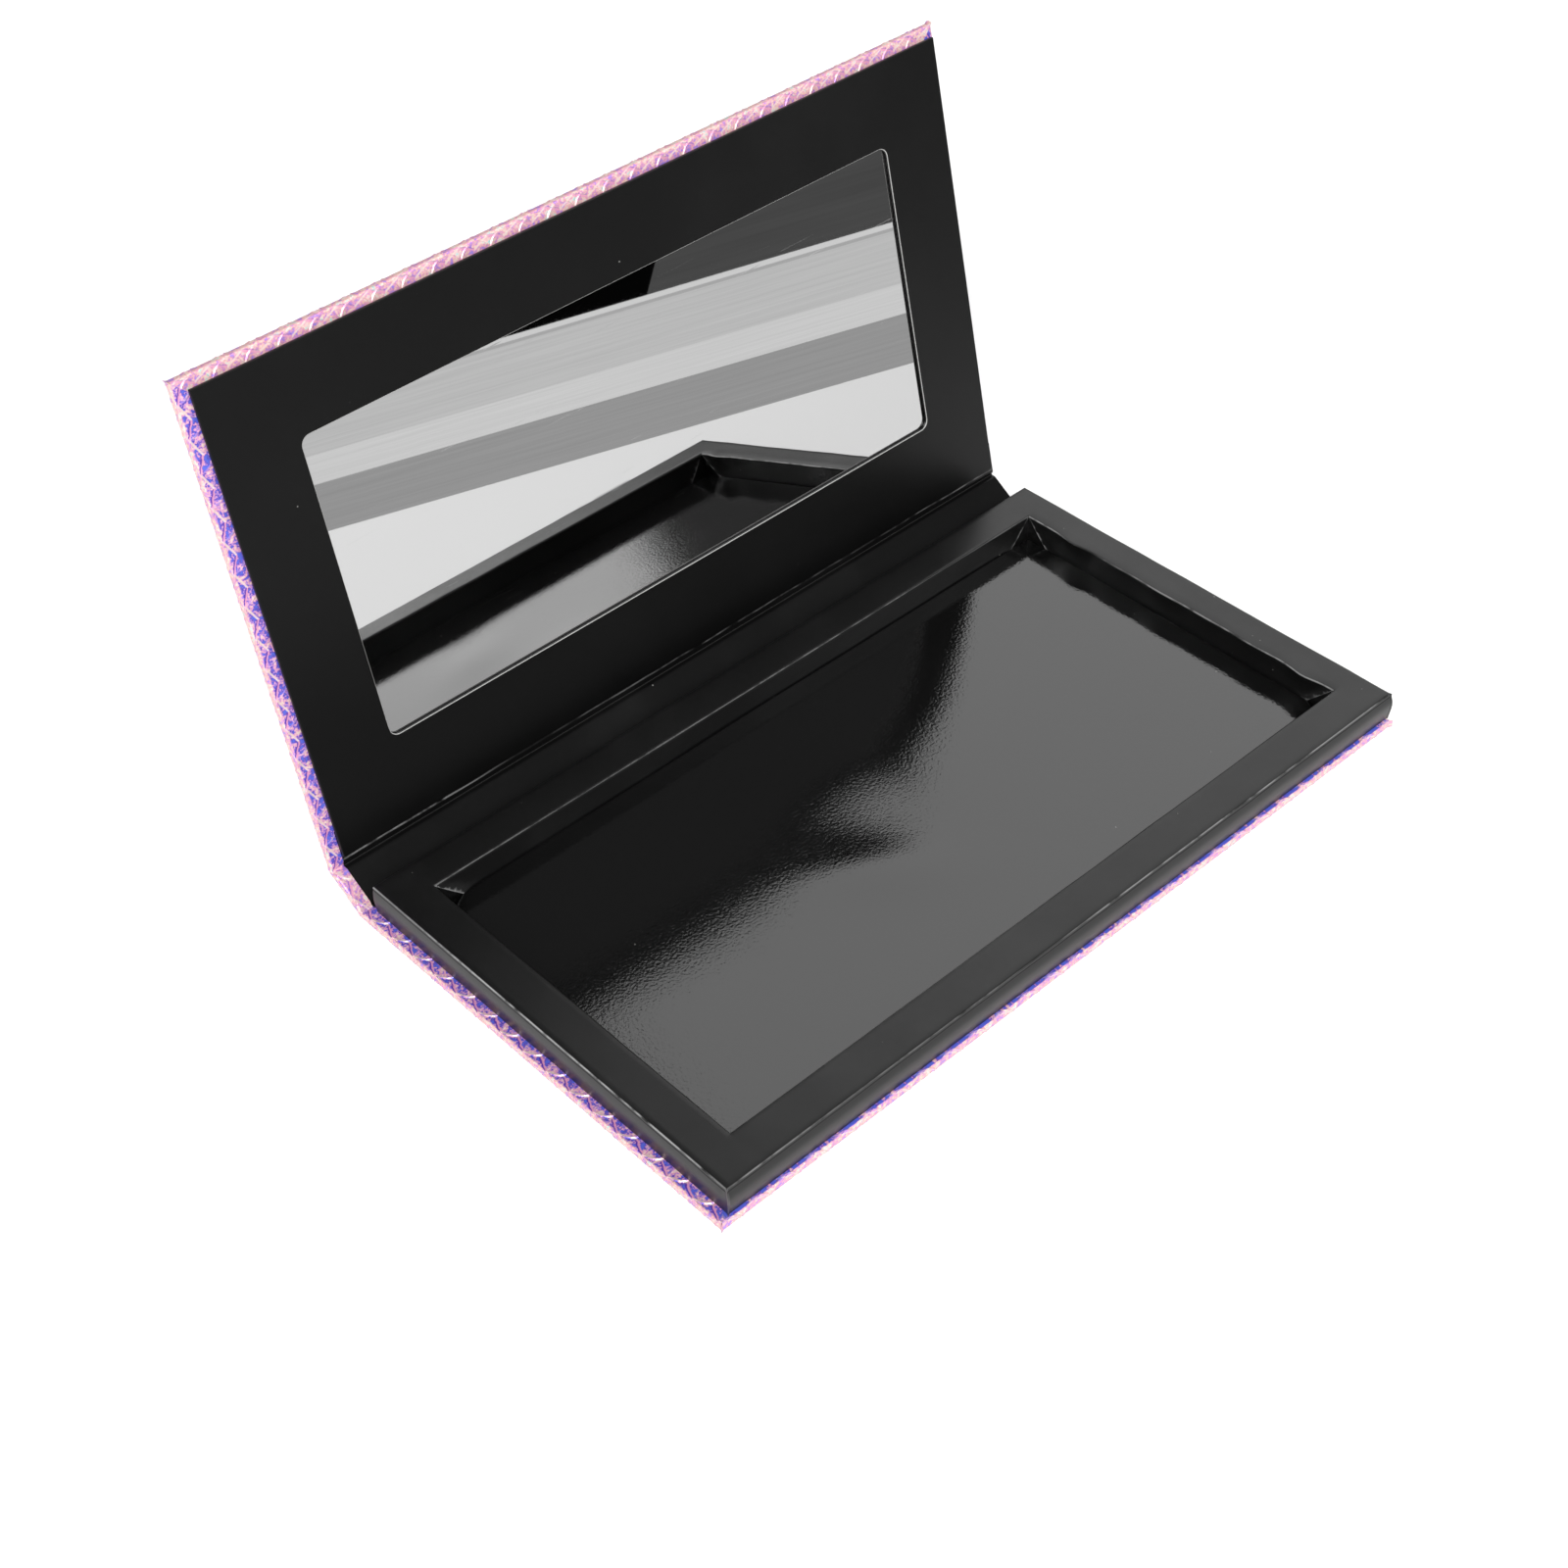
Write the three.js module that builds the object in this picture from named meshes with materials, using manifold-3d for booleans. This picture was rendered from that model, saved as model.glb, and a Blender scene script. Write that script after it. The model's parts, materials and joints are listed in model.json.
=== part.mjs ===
// Book-style magnetic makeup palette, standing open: a base cover with a paper-wrapped tray and a
// magnetic sheet, a spine, and a lid cover with a mirror behind a window of black card. Film and
// paper bent in the two grooves beside the spine are the hinges.
// Millimetres, +Z up. X runs along the hinges, the tray's front faces -Y, and the origin is the
// middle of the base cover's underside.
import * as THREE from "three";
import { mergeVertices } from "three/addons/utils/BufferGeometryUtils.js";
import Module from "manifold-3d";

// Sheet materials
const BOARD = 1.5; // greyboard of the three covers
const FILM = 0.25; // embossed film that wraps them
const HINGE_PAPER = 0.15; // black paper strip lining the hinges
const TRAY_PAPER = 0.2; // black paper skin of the tray
const GLUE = 0.05; // glue line between any two layers

// Tray
const TRAY_WIDTH = 190;
const TRAY_DEPTH = 106.8;
const TRAY_HEIGHT = 7;
const LEFT_RAIL = 9.2; // widths of the four rails
const RIGHT_RAIL = 7.8;
const FRONT_RAIL = 9.3;
const REAR_RAIL = 8.7;
const RAIL_JOINT = 0.1; // gap where one rail butts against another

// How far the base cover stands out beyond the tray
const LEFT_MARGIN = 2.4;
const RIGHT_MARGIN = 0.4;
const FRONT_MARGIN = 0.8;
const REAR_MARGIN = 1.25;

// Magnetic sheet
const SHEET_ADHESIVE = 0.1;
const SHEET = 0.7;
const SHEET_FILM = 0.1;
const SHEET_CLEARANCE = 0.4; // between the sheet and the tray's inner walls

// Covers and hinges
const TURN_IN = 8; // film folded over onto the inside of a cover
const GROOVE_EASE = 0.3; // play between two covers folded square
const GROOVE_SEAM = 0.1; // gap between a groove's strips and the covers beside it
const STRIP_LAP = 6; // hinge paper glued under the tray and under the card
const CLOSING_GAP = 0.35; // between the tray and the card with the lid shut
const SPINE_ANGLE = 33.5; // spine above the table, degrees
const LID_ANGLE = 45.4; // lid beyond the spine, degrees

// Lid card and mirror
const CARD = 0.8;
const CARD_LEFT = 2.95; // margins of film left showing round the card
const CARD_RIGHT = 0.95;
const CARD_TOP = 2.5;
const CARD_HEEL = 1.5;
const CARD_BORDER = 18; // width of the card frame beside and above the window
const CARD_FOOT = 19.2; // and below it
const WINDOW_RADIUS = 3;
const MIRROR = 0.3;
const MIRROR_TAPE = 0.1;
const MIRROR_LAP = 3; // mirror hidden behind the card's edge

// Closing magnets
const MAGNET_DIAMETER = 6;
const TRAY_MAGNET = 2; // thickness
const LID_MAGNET = 1;
const MAGNET_SPREAD = 120; // between the left and the right pair
const MAGNET_CLEARANCE = 0.1;

// Sizes that follow from these
const coverWidth = TRAY_WIDTH + LEFT_MARGIN + RIGHT_MARGIN;
const coverDepth = TRAY_DEPTH + FRONT_MARGIN + REAR_MARGIN;
const coverThickness = FILM + GLUE + BOARD + GLUE + FILM;
const halfThickness = coverThickness / 2;
const linedSeat = GLUE + HINGE_PAPER + GLUE; // room for the hinge paper under the tray and the card
const mirrorTop = BOARD / 2 + GLUE + MIRROR_TAPE + GLUE + MIRROR; // above mid-thickness of the lid
const cardBack = Math.max(halfThickness + linedSeat, mirrorTop + GLUE);
const cardFace = cardBack + CARD;
const grooveHalf = halfThickness + GROOVE_EASE;
const coverReach = grooveHalf + coverDepth; // hinge axis to a cover's free edge
const trayTop = coverThickness + linedSeat + TRAY_HEIGHT;
const spinePitch = trayTop - halfThickness + CLOSING_GAP + cardFace; // from hinge axis to hinge axis
const rearAxis = new THREE.Vector3(0, coverDepth / 2 + grooveHalf, halfThickness);
const trayShift = (LEFT_MARGIN - RIGHT_MARGIN) / 2;
const magnetSides = { left: trayShift - MAGNET_SPREAD / 2, right: trayShift + MAGNET_SPREAD / 2 };
const magnetReach = grooveHalf + REAR_MARGIN + TRAY_DEPTH - FRONT_RAIL / 2;
const OVERCUT = 1; // how far a cutting tool runs past the face that it opens
const ROUND_STEPS = 32;

const FINISHES = {
  greyboard: { color: 0x8d8578, roughness: 0.95, metalness: 0 },
  film: { color: 0xa184d6, roughness: 0.25, metalness: 0.5 },
  blackPaper: { color: 0x202020, roughness: 0.5, metalness: 0 },
  blackCard: { color: 0x1d1d1d, roughness: 0.6, metalness: 0 },
  adhesive: { color: 0xd8d4c4, roughness: 0.6, metalness: 0 },
  ferrite: { color: 0x2a2725, roughness: 0.8, metalness: 0 },
  glossFilm: { color: 0x0c0c0c, roughness: 0.12, metalness: 0 },
  mirror: { color: 0xe6e8ea, roughness: 0.02, metalness: 1 },
  nickel: { color: 0xb9b7b0, roughness: 0.3, metalness: 1 },
};

const wasm = await Module();
wasm.setup();

// Boolean cuts
function solid(geometry) {
  const bare = geometry.clone();
  bare.deleteAttribute("normal");
  bare.deleteAttribute("uv");
  const merged = mergeVertices(bare);
  return new wasm.Manifold(
    new wasm.Mesh({
      numProp: 3,
      vertProperties: merged.attributes.position.array,
      triVerts: new Uint32Array(merged.index.array),
    }),
  );
}

function cut(geometry, ...tools) {
  const mesh = tools.reduce((body, tool) => body.subtract(solid(tool)), solid(geometry)).getMesh();
  const left = new THREE.BufferGeometry();
  left.setAttribute("position", new THREE.BufferAttribute(mesh.vertProperties, 3));
  left.setIndex(new THREE.BufferAttribute(mesh.triVerts, 1));
  const faceted = left.toNonIndexed();
  faceted.computeVertexNormals();
  return faceted;
}

// Basic shapes, each given by its low and high limits along X, Y and Z
function block([x0, x1], [y0, y1], [z0, z1]) {
  const geometry = new THREE.BoxGeometry(x1 - x0, y1 - y0, z1 - z0);
  return geometry.translate((x0 + x1) / 2, (y0 + y1) / 2, (z0 + z1) / 2);
}

function roundedBlock([x0, x1], [y0, y1], [z0, z1], radius) {
  const outline = new THREE.Shape();
  outline.absarc(x1 - radius, y1 - radius, radius, 0, Math.PI / 2);
  outline.absarc(x0 + radius, y1 - radius, radius, Math.PI / 2, Math.PI);
  outline.absarc(x0 + radius, y0 + radius, radius, Math.PI, Math.PI * 1.5);
  outline.absarc(x1 - radius, y0 + radius, radius, Math.PI * 1.5, Math.PI * 2);
  const geometry = new THREE.ExtrudeGeometry(outline, { depth: z1 - z0, bevelEnabled: false });
  return geometry.translate(0, 0, z0);
}

function disc(x, y, [z0, z1], diameter) {
  const geometry = new THREE.CylinderGeometry(diameter / 2, diameter / 2, z1 - z0, ROUND_STEPS);
  return geometry.rotateX(Math.PI / 2).translate(x, y, (z0 + z1) / 2);
}

const centred = (size, middle = 0) => [middle - size / 2, middle + size / 2];
const grown = ([low, high], by) => [low - by, high + by];
const stacked = (base, thickness) => [base, base + thickness];

function piece(name, geometry, finish) {
  const mesh = new THREE.Mesh(geometry, new THREE.MeshStandardMaterial(FINISHES[finish]));
  mesh.name = name;
  return mesh;
}

// A cover lies along +Y from its hinge axis, with its inside facing +Z and the axis in mid-thickness
const boardLayer = centred(BOARD);
const coverX = centred(coverWidth);
const coverY = [grooveHalf, coverReach];
const spineY = [grooveHalf, spinePitch - grooveHalf];

// The board inside a wrap. A wrap is open at its hinge side, and a spine's is open at both.
function boardIn([y0, y1], wrappedFarEnd) {
  const farEnd = wrappedFarEnd ? y1 - FILM - GLUE : y1;
  return block(grown(coverX, -FILM - GLUE), [y0, farEnd], boardLayer);
}

function wrapRound([y0, y1], wrappedFarEnd) {
  const pocketEnd = wrappedFarEnd ? y1 - FILM : y1 + OVERCUT;
  const windowEnd = wrappedFarEnd ? y1 - TURN_IN : y1 + OVERCUT;
  const pocket = block(grown(coverX, -FILM), [y0 - OVERCUT, pocketEnd], grown(boardLayer, GLUE));
  const window = block(grown(coverX, -TURN_IN), [y0 - OVERCUT, windowEnd], [0, coverThickness]);
  return cut(block(coverX, [y0, y1], centred(coverThickness)), pocket, window);
}

// Hinge paper: one strip, narrower than the film by the card's margins
const paperX = [coverX[0] + CARD_LEFT, coverX[1] - CARD_RIGHT];
const paperLayer = stacked(halfThickness + GLUE, HINGE_PAPER);

// A band of sheet across a groove: it leaves the first cover along +Y and turns up to the second
function bentBand(width, layer, turnDegrees) {
  const turn = THREE.MathUtils.degToRad(turnDegrees);
  const reach = grooveHalf - GROOVE_SEAM;
  const edge = (height) => ({
    start: new THREE.Vector2(-reach, height),
    corner: new THREE.Vector2(-height * Math.tan(turn / 2), height),
    end: new THREE.Vector2(reach, height).rotateAround(new THREE.Vector2(), turn),
  });
  const outer = edge(layer[0]);
  const inner = edge(layer[1]);
  const outline = new THREE.Shape();
  outline.moveTo(outer.start.x, outer.start.y);
  outline.quadraticCurveTo(outer.corner.x, outer.corner.y, outer.end.x, outer.end.y);
  outline.lineTo(inner.end.x, inner.end.y);
  outline.quadraticCurveTo(inner.corner.x, inner.corner.y, inner.start.x, inner.start.y);
  outline.closePath();
  const geometry = new THREE.ExtrudeGeometry(outline, { depth: width[1] - width[0], bevelEnabled: false });
  const alongX = new THREE.Matrix4().makeBasis(
    new THREE.Vector3(0, 1, 0),
    new THREE.Vector3(0, 0, 1),
    new THREE.Vector3(1, 0, 0),
  );
  return geometry.applyMatrix4(alongX).translate(width[0], 0, 0);
}

function groove(prefix, turnDegrees) {
  const group = new THREE.Group();
  group.add(
    piece(`${prefix}_wrap`, bentBand(coverX, stacked(-halfThickness, FILM), turnDegrees), "film"),
    piece(`${prefix}_liner`, bentBand(paperX, paperLayer, turnDegrees), "blackPaper"),
  );
  return group;
}

// Base cover, turned half round so that it lies in front of its hinge axis
function baseCover() {
  const base = new THREE.Group();
  const stripX = [-paperX[1], -paperX[0]];
  const stripEnd = grooveHalf + REAR_MARGIN + STRIP_LAP;
  base.add(
    piece("base_board", boardIn(coverY, true), "greyboard"),
    piece("base_wrap", wrapRound(coverY, true), "film"),
    piece("base_liner_strip", block(stripX, [grooveHalf, stripEnd], paperLayer), "blackPaper"),
  );
  base.position.copy(rearAxis);
  base.rotation.z = Math.PI;
  return base;
}

// Tray, drawn round its own middle with its foot at z = 0
const trayX = centred(TRAY_WIDTH);
const trayY = centred(TRAY_DEPTH);
const recessX = [trayX[0] + LEFT_RAIL, trayX[1] - RIGHT_RAIL];
const recessY = [trayY[0] + FRONT_RAIL, trayY[1] - REAR_RAIL];
const traySkin = TRAY_PAPER + GLUE;

function trayWrap() {
  const through = [-OVERCUT, TRAY_HEIGHT + OVERCUT];
  const underSkin = [-OVERCUT, TRAY_HEIGHT - TRAY_PAPER];
  const outside = block(trayX, trayY, [0, TRAY_HEIGHT]);
  const railSpace = block(grown(trayX, -TRAY_PAPER), grown(trayY, -TRAY_PAPER), underSkin);
  const innerWalls = block(grown(recessX, TRAY_PAPER), grown(recessY, TRAY_PAPER), through);
  return cut(outside, cut(railSpace, innerWalls), block(recessX, recessY, through));
}

function trayRails() {
  const height = [0, TRAY_HEIGHT - traySkin];
  const endX = grown(trayX, -traySkin);
  const frontY = grown([trayY[0], recessY[0]], -traySkin);
  const rearY = grown([recessY[1], trayY[1]], -traySkin);
  const sideY = [frontY[1] + RAIL_JOINT, rearY[0] - RAIL_JOINT];
  const pocketFloor = height[1] - MAGNET_CLEARANCE - TRAY_MAGNET;
  const frontMiddle = (trayY[0] + recessY[0]) / 2;
  const rails = new THREE.Group();
  const pockets = [];
  for (const [side, x] of Object.entries(magnetSides)) {
    const inTray = x - trayShift;
    const magnet = stacked(pocketFloor + MAGNET_CLEARANCE / 2, TRAY_MAGNET);
    const pocketWidth = MAGNET_DIAMETER + 2 * MAGNET_CLEARANCE;
    pockets.push(disc(inTray, frontMiddle, [pocketFloor, height[1] + OVERCUT], pocketWidth));
    rails.add(piece(`tray_magnet_${side}`, disc(inTray, frontMiddle, magnet, MAGNET_DIAMETER), "nickel"));
  }
  rails.add(
    piece("tray_rail_front", cut(block(endX, frontY, height), ...pockets), "greyboard"),
    piece("tray_rail_rear", block(endX, rearY, height), "greyboard"),
    piece("tray_rail_left", block(grown([trayX[0], recessX[0]], -traySkin), sideY, height), "greyboard"),
    piece("tray_rail_right", block(grown([recessX[1], trayX[1]], -traySkin), sideY, height), "greyboard"),
  );
  return rails;
}

function magneticSheet() {
  const sheetX = grown(recessX, -SHEET_CLEARANCE);
  const sheetY = grown(recessY, -SHEET_CLEARANCE);
  const layers = new THREE.Group();
  let height = GLUE;
  for (const [name, thickness, finish] of [
    ["magnet_adhesive", SHEET_ADHESIVE, "adhesive"],
    ["magnet_sheet", SHEET, "ferrite"],
    ["magnet_film", SHEET_FILM, "glossFilm"],
  ]) {
    layers.add(piece(name, block(sheetX, sheetY, stacked(height, thickness)), finish));
    height += thickness + GLUE;
  }
  layers.position.z = -linedSeat;
  return layers;
}

function tray() {
  const group = new THREE.Group();
  group.add(piece("tray_wrap", trayWrap(), "blackPaper"), trayRails(), magneticSheet());
  const rearEdge = coverDepth / 2 - REAR_MARGIN;
  group.position.set(trayShift, rearEdge - TRAY_DEPTH / 2, coverThickness + linedSeat);
  return group;
}

// Lid, drawn from its hinge axis
const cardX = paperX;
const cardY = [coverY[0] + CARD_HEEL, coverY[1] - CARD_TOP];
const cardLayer = [cardBack, cardFace];
const windowX = grown(cardX, -CARD_BORDER);
const windowY = [cardY[0] + CARD_FOOT, cardY[1] - CARD_BORDER];

function lidCard() {
  const window = roundedBlock(windowX, windowY, grown(cardLayer, OVERCUT), WINDOW_RADIUS);
  return cut(block(cardX, cardY, cardLayer), window);
}

function lidMirror() {
  const mirrorX = grown(windowX, MIRROR_LAP);
  const mirrorY = grown(windowY, MIRROR_LAP);
  const mirrorBack = mirrorTop - MIRROR;
  const tapeBack = mirrorBack - GLUE - MIRROR_TAPE;
  const group = new THREE.Group();
  group.add(
    piece("mirror", block(mirrorX, mirrorY, stacked(mirrorBack, MIRROR)), "mirror"),
    piece("mirror_tape", block(mirrorX, mirrorY, stacked(tapeBack, MIRROR_TAPE)), "adhesive"),
  );
  return group;
}

function lid() {
  const group = new THREE.Group();
  const pocketFloor = boardLayer[1] - MAGNET_CLEARANCE - LID_MAGNET;
  const pockets = [];
  for (const [side, x] of Object.entries(magnetSides)) {
    const magnet = stacked(pocketFloor + MAGNET_CLEARANCE / 2, LID_MAGNET);
    const pocketWidth = MAGNET_DIAMETER + 2 * MAGNET_CLEARANCE;
    pockets.push(disc(x, magnetReach, [pocketFloor, boardLayer[1] + OVERCUT], pocketWidth));
    group.add(piece(`lid_magnet_${side}`, disc(x, magnetReach, magnet, MAGNET_DIAMETER), "nickel"));
  }
  const stripY = [grooveHalf, cardY[0] + STRIP_LAP];
  group.add(
    piece("lid_board", cut(boardIn(coverY, true), ...pockets), "greyboard"),
    piece("lid_wrap", wrapRound(coverY, true), "film"),
    piece("lid_liner_strip", block(paperX, stripY, paperLayer), "blackPaper"),
    piece("lid_card", lidCard(), "blackCard"),
    lidMirror(),
  );
  return group;
}

// Spine, with the lid hung on its far axis
function spineAndLid() {
  const spine = new THREE.Group();
  spine.add(
    piece("spine_board", boardIn(spineY, false), "greyboard"),
    piece("spine_wrap", wrapRound(spineY, false), "film"),
    piece("spine_liner", block(paperX, spineY, paperLayer), "blackPaper"),
  );
  const lidHinge = new THREE.Group();
  const hungLid = lid();
  hungLid.rotation.x = THREE.MathUtils.degToRad(LID_ANGLE);
  lidHinge.add(groove("lid_groove", LID_ANGLE), hungLid);
  lidHinge.position.y = spinePitch;
  spine.add(lidHinge);
  spine.rotation.x = THREE.MathUtils.degToRad(SPINE_ANGLE);
  return spine;
}

const rearHinge = new THREE.Group();
rearHinge.add(groove("rear_groove", SPINE_ANGLE), spineAndLid());
rearHinge.position.copy(rearAxis);

const palette = new THREE.Group();
palette.name = "magnetic_makeup_palette";
palette.add(baseCover(), tray(), rearHinge);

export default palette;
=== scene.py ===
"""Dresses a book-style makeup palette: embossed film, black paper, card, mirror and gloss sheet."""
import json
import math
from contextlib import contextmanager

import bmesh
import bpy
import numpy as np
from mathutils import Matrix, Vector, noise


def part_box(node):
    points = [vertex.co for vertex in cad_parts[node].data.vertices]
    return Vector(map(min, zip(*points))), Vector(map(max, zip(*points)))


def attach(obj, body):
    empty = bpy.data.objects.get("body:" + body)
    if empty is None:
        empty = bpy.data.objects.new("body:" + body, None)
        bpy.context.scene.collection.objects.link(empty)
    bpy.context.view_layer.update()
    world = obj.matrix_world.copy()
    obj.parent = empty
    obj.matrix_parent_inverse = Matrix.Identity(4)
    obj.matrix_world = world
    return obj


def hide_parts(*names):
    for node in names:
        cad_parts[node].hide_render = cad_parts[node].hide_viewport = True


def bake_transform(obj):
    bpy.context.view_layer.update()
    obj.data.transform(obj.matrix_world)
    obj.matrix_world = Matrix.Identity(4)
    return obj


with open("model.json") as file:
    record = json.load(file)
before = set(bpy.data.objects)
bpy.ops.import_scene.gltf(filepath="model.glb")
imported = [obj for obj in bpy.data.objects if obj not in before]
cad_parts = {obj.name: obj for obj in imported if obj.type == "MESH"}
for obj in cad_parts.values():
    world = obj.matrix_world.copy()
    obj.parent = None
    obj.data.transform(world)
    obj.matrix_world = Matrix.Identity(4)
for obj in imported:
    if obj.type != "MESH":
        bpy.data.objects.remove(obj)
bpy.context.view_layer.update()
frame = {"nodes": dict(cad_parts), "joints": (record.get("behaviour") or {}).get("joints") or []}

bl_info = {
    "name": "Makeup Palette",
    "version": (1, 0, 0),
    "blender": (4, 5, 0),
    "location": "3D View > Sidebar > Palette",
    "description": "Builds the film, paper, card and mirror of a book-style magnetic makeup palette",
    "category": "Object",
}

MM = 0.001
TOLERANCE = 1e-7
NEAR = 0.01 * MM


# Sizes and places from the frame

joints = {joint["name"]: joint for joint in frame["joints"]}
REAR_AXIS = Vector(joints["spine_hinge"]["pos_m"])
LID_AXIS = Vector(joints["lid_hinge"]["pos_m"])
SPINE_TURN = math.radians(-joints["spine_hinge"]["range_deg"][0])
LID_TURN = math.radians(-joints["lid_hinge"]["range_deg"][0])
SPINE_PITCH = (LID_AXIS - REAR_AXIS).length

cover_low, cover_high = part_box("base_wrap")
HALF_WIDTH = cover_high.x
HALF_THICK = (cover_high.z - cover_low.z) / 2
GROOVE_HALF = REAR_AXIS.y - cover_high.y
COVER_REACH = REAR_AXIS.y - cover_low.y

PAPER_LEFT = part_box("spine_liner")[0].x
strip_low, strip_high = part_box("base_liner_strip")
PAPER_LEVEL = strip_high.z - REAR_AXIS.z
STRIP_START = strip_low.y - REAR_AXIS.y

tray_low, tray_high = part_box("tray_wrap")
rails = {side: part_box("tray_rail_" + side) for side in ("left", "right", "front", "rear")}
TRAY_SKIN = rails["left"][0].x - tray_low.x
recess_low = Vector((rails["left"][1].x, rails["front"][1].y, tray_low.z))
recess_low += Vector((TRAY_SKIN, TRAY_SKIN, 0))
recess_high = Vector((rails["right"][0].x, rails["rear"][0].y, tray_high.z))
recess_high -= Vector((TRAY_SKIN, TRAY_SKIN, 0))
recess_middle = (recess_low + recess_high) / 2

# The covers, laid out flat in one plane with the rear hinge along X at the origin, go to these places
BASE_PLACE = Matrix.Translation(REAR_AXIS)
SPINE_PLACE = BASE_PLACE @ Matrix.Rotation(SPINE_TURN, 4, "X")
LID_PLACE = (
    Matrix.Translation(LID_AXIS)
    @ Matrix.Rotation(SPINE_TURN + LID_TURN, 4, "X")
    @ Matrix.Translation((0, -SPINE_PITCH, 0))
)


def box_in(place, node):
    """Lowest and highest corners of a CAD node in the laid-out plane."""
    corners = np.array([place.inverted() @ vert.co for vert in frame["nodes"][node].data.vertices])
    return Vector(corners.min(0)), Vector(corners.max(0))


card_low, card_high = box_in(LID_PLACE, "lid_card")
LID_STRIP_END = box_in(LID_PLACE, "lid_liner_strip")[1].y


# Settings

def tint(code):
    """A colour written as red, green and blue bytes, in linear light."""
    parts = [(code >> shift & 255) / 255 for shift in (16, 8, 0)]
    return tuple(p / 12.92 if p <= 0.04045 else ((p + 0.055) / 1.055) ** 2.4 for p in parts)


def length(name, description, millimetres):
    return bpy.props.FloatProperty(
        name=name, description=description, default=millimetres * MM, min=0, unit="LENGTH", precision=5
    )


def colour(name, description, code):
    return bpy.props.FloatVectorProperty(
        name=name, description=description, default=tint(code), size=3, min=0, max=1, subtype="COLOR"
    )


def angle(name, description, degrees):
    return bpy.props.FloatProperty(
        name=name, description=description, default=math.radians(degrees), subtype="ANGLE"
    )


def share(name, description, value):
    return bpy.props.FloatProperty(
        name=name, description=description, default=value, min=0, max=1, subtype="FACTOR"
    )


class FilmSettings(bpy.types.PropertyGroup):
    scale_width: length("Scale Width", "Width of one embossed scale", 7.04)
    relief: length("Relief", "Depth of the embossing", 0.17)
    thickness: length("Thickness", "Thickness of the film", 0.06)
    fold: length("Fold Radius", "Radius of the film round a board's edge", 0.45)
    turn_in: length("Turn-in", "Film folded over onto the inside of a cover", 4.5)
    tip: length("Tip", "How far the film is drawn out at a cover's free corners", 0.7)
    blue: colour("Blue", "Film inside the covers, at the heart of a scale", 0x5C68D8)
    # Violet is also painted beside the ridges and along the zigzag as shade
    violet: colour("Violet", "Film inside the covers, beside a ridge", 0x5A2CA4)
    lilac: colour("Lilac", "Film inside the covers, on a flank", 0xA486DC)
    # Pink and cream are also painted on the ridges and along the zigzag as highlights
    pink: colour("Pink", "Film on the covers' edges", 0xE49CBC)
    peach: colour("Peach", "Film on the covers' edges", 0xEDBEAE)
    cream: colour("Cream", "Film on a ridge", 0xECD4CE)
    aqua: colour("Aqua", "Rare glints in the film", 0xA8DCD6)
    # Grey painted shade along each cover's first fold, in place of a contact shadow
    rim: colour("Rim", "Film on a cover's outer edge", 0x8E9496)


class PaperSettings(bpy.types.PropertyGroup):
    thickness: length("Thickness", "Thickness of the black paper", 0.12)
    fold: length("Fold Radius", "Radius of the tray's folded edges", 0.4)
    dip: length("Groove Dip", "How far the paper sinks into a hinge groove", 0.45)
    pucker: length("Pucker", "How far the paper lifts along the tray's right inner edge", 0.7)
    curl: length("Curl", "How far the slit ends of the inner flaps stand off the rails", 0.4)
    black: colour("Black", "Colour of the paper", 0x0A0A0A)
    worn: colour("Worn", "Colour of rubbed paper", 0x181818)
    # Tone painted along the folds as a highlight, partly worn fibre, and the tone of the paper's cut
    # edges
    crease: colour("Crease", "Colour of sharply folded paper", 0x9C9C9C)
    dust: colour("Dust", "Colour of dust and of bare fibres", 0xB8B8B4)


class CardSettings(bpy.types.PropertyGroup):
    border: length("Border", "Width of the card beside and above the window", 18.0)
    foot: length("Foot", "Width of the card below the window", 19.2)
    corner: length("Window Corner", "Radius of the window's corners", 2.2)
    edge: length("Edge", "Rounding of the card's edges", 0.16)
    black: colour("Black", "Colour of the card's face", 0x060606)
    core: colour("Core", "Colour of the card where its window is cut", 0xB4B4B2)


class SheetSettings(bpy.types.PropertyGroup):
    wave: length("Wave", "Height of the gloss sheet's waves", 0.12)
    thickness: length("Thickness", "Thickness of the gloss film", 0.08)
    black: colour("Black", "Colour of the gloss film", 0x060606)


class StockSettings(bpy.types.PropertyGroup):
    board: colour("Board", "Colour of the greyboard", 0x8D8578)
    ferrite: colour("Ferrite", "Colour of the magnetic rubber", 0x2A2725)
    adhesive: colour("Adhesive", "Colour of the adhesive layers", 0xD8D4C4)
    nickel: colour("Nickel", "Colour of the closing magnets", 0xB9B7B0)
    silver: colour("Silver", "Colour of the mirror", 0xCCCCCC)


class StageSettings(bpy.types.PropertyGroup):
    azimuth: angle("Azimuth", "Direction of the view round the object", -40.7527)
    elevation: angle("Elevation", "Height of the view above the horizon", 42.5066)
    roll: angle("Roll", "Turn of the picture", -2.9003)
    lens: bpy.props.FloatProperty(
        name="Lens", description="Focal length on the camera's sensor", default=57.46,
        subtype="DISTANCE_CAMERA",
    )
    floor: colour("Floor", "Colour of the floor", 0xF4F4F4)
    sky: share("Sky", "Strength of the light from all round", 0.15)


def settings(name):
    """The current settings of one group."""
    return getattr(bpy.context.scene, "palette_" + name)


# Editing meshes

def only(item):
    """Makes one object the only one selected, and the active one."""
    bpy.ops.object.select_all(action="DESELECT")
    item.select_set(True)
    bpy.context.view_layer.objects.active = item


@contextmanager
def editing(item, kind="VERT"):
    """Opens one object in edit mode with nothing selected."""
    only(item)
    bpy.ops.object.mode_set(mode="EDIT")
    bpy.ops.mesh.select_mode(type=kind)
    bpy.ops.mesh.select_all(action="DESELECT")
    try:
        yield bmesh.from_edit_mesh(item.data)
    finally:
        bpy.ops.object.mode_set(mode="OBJECT")


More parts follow.
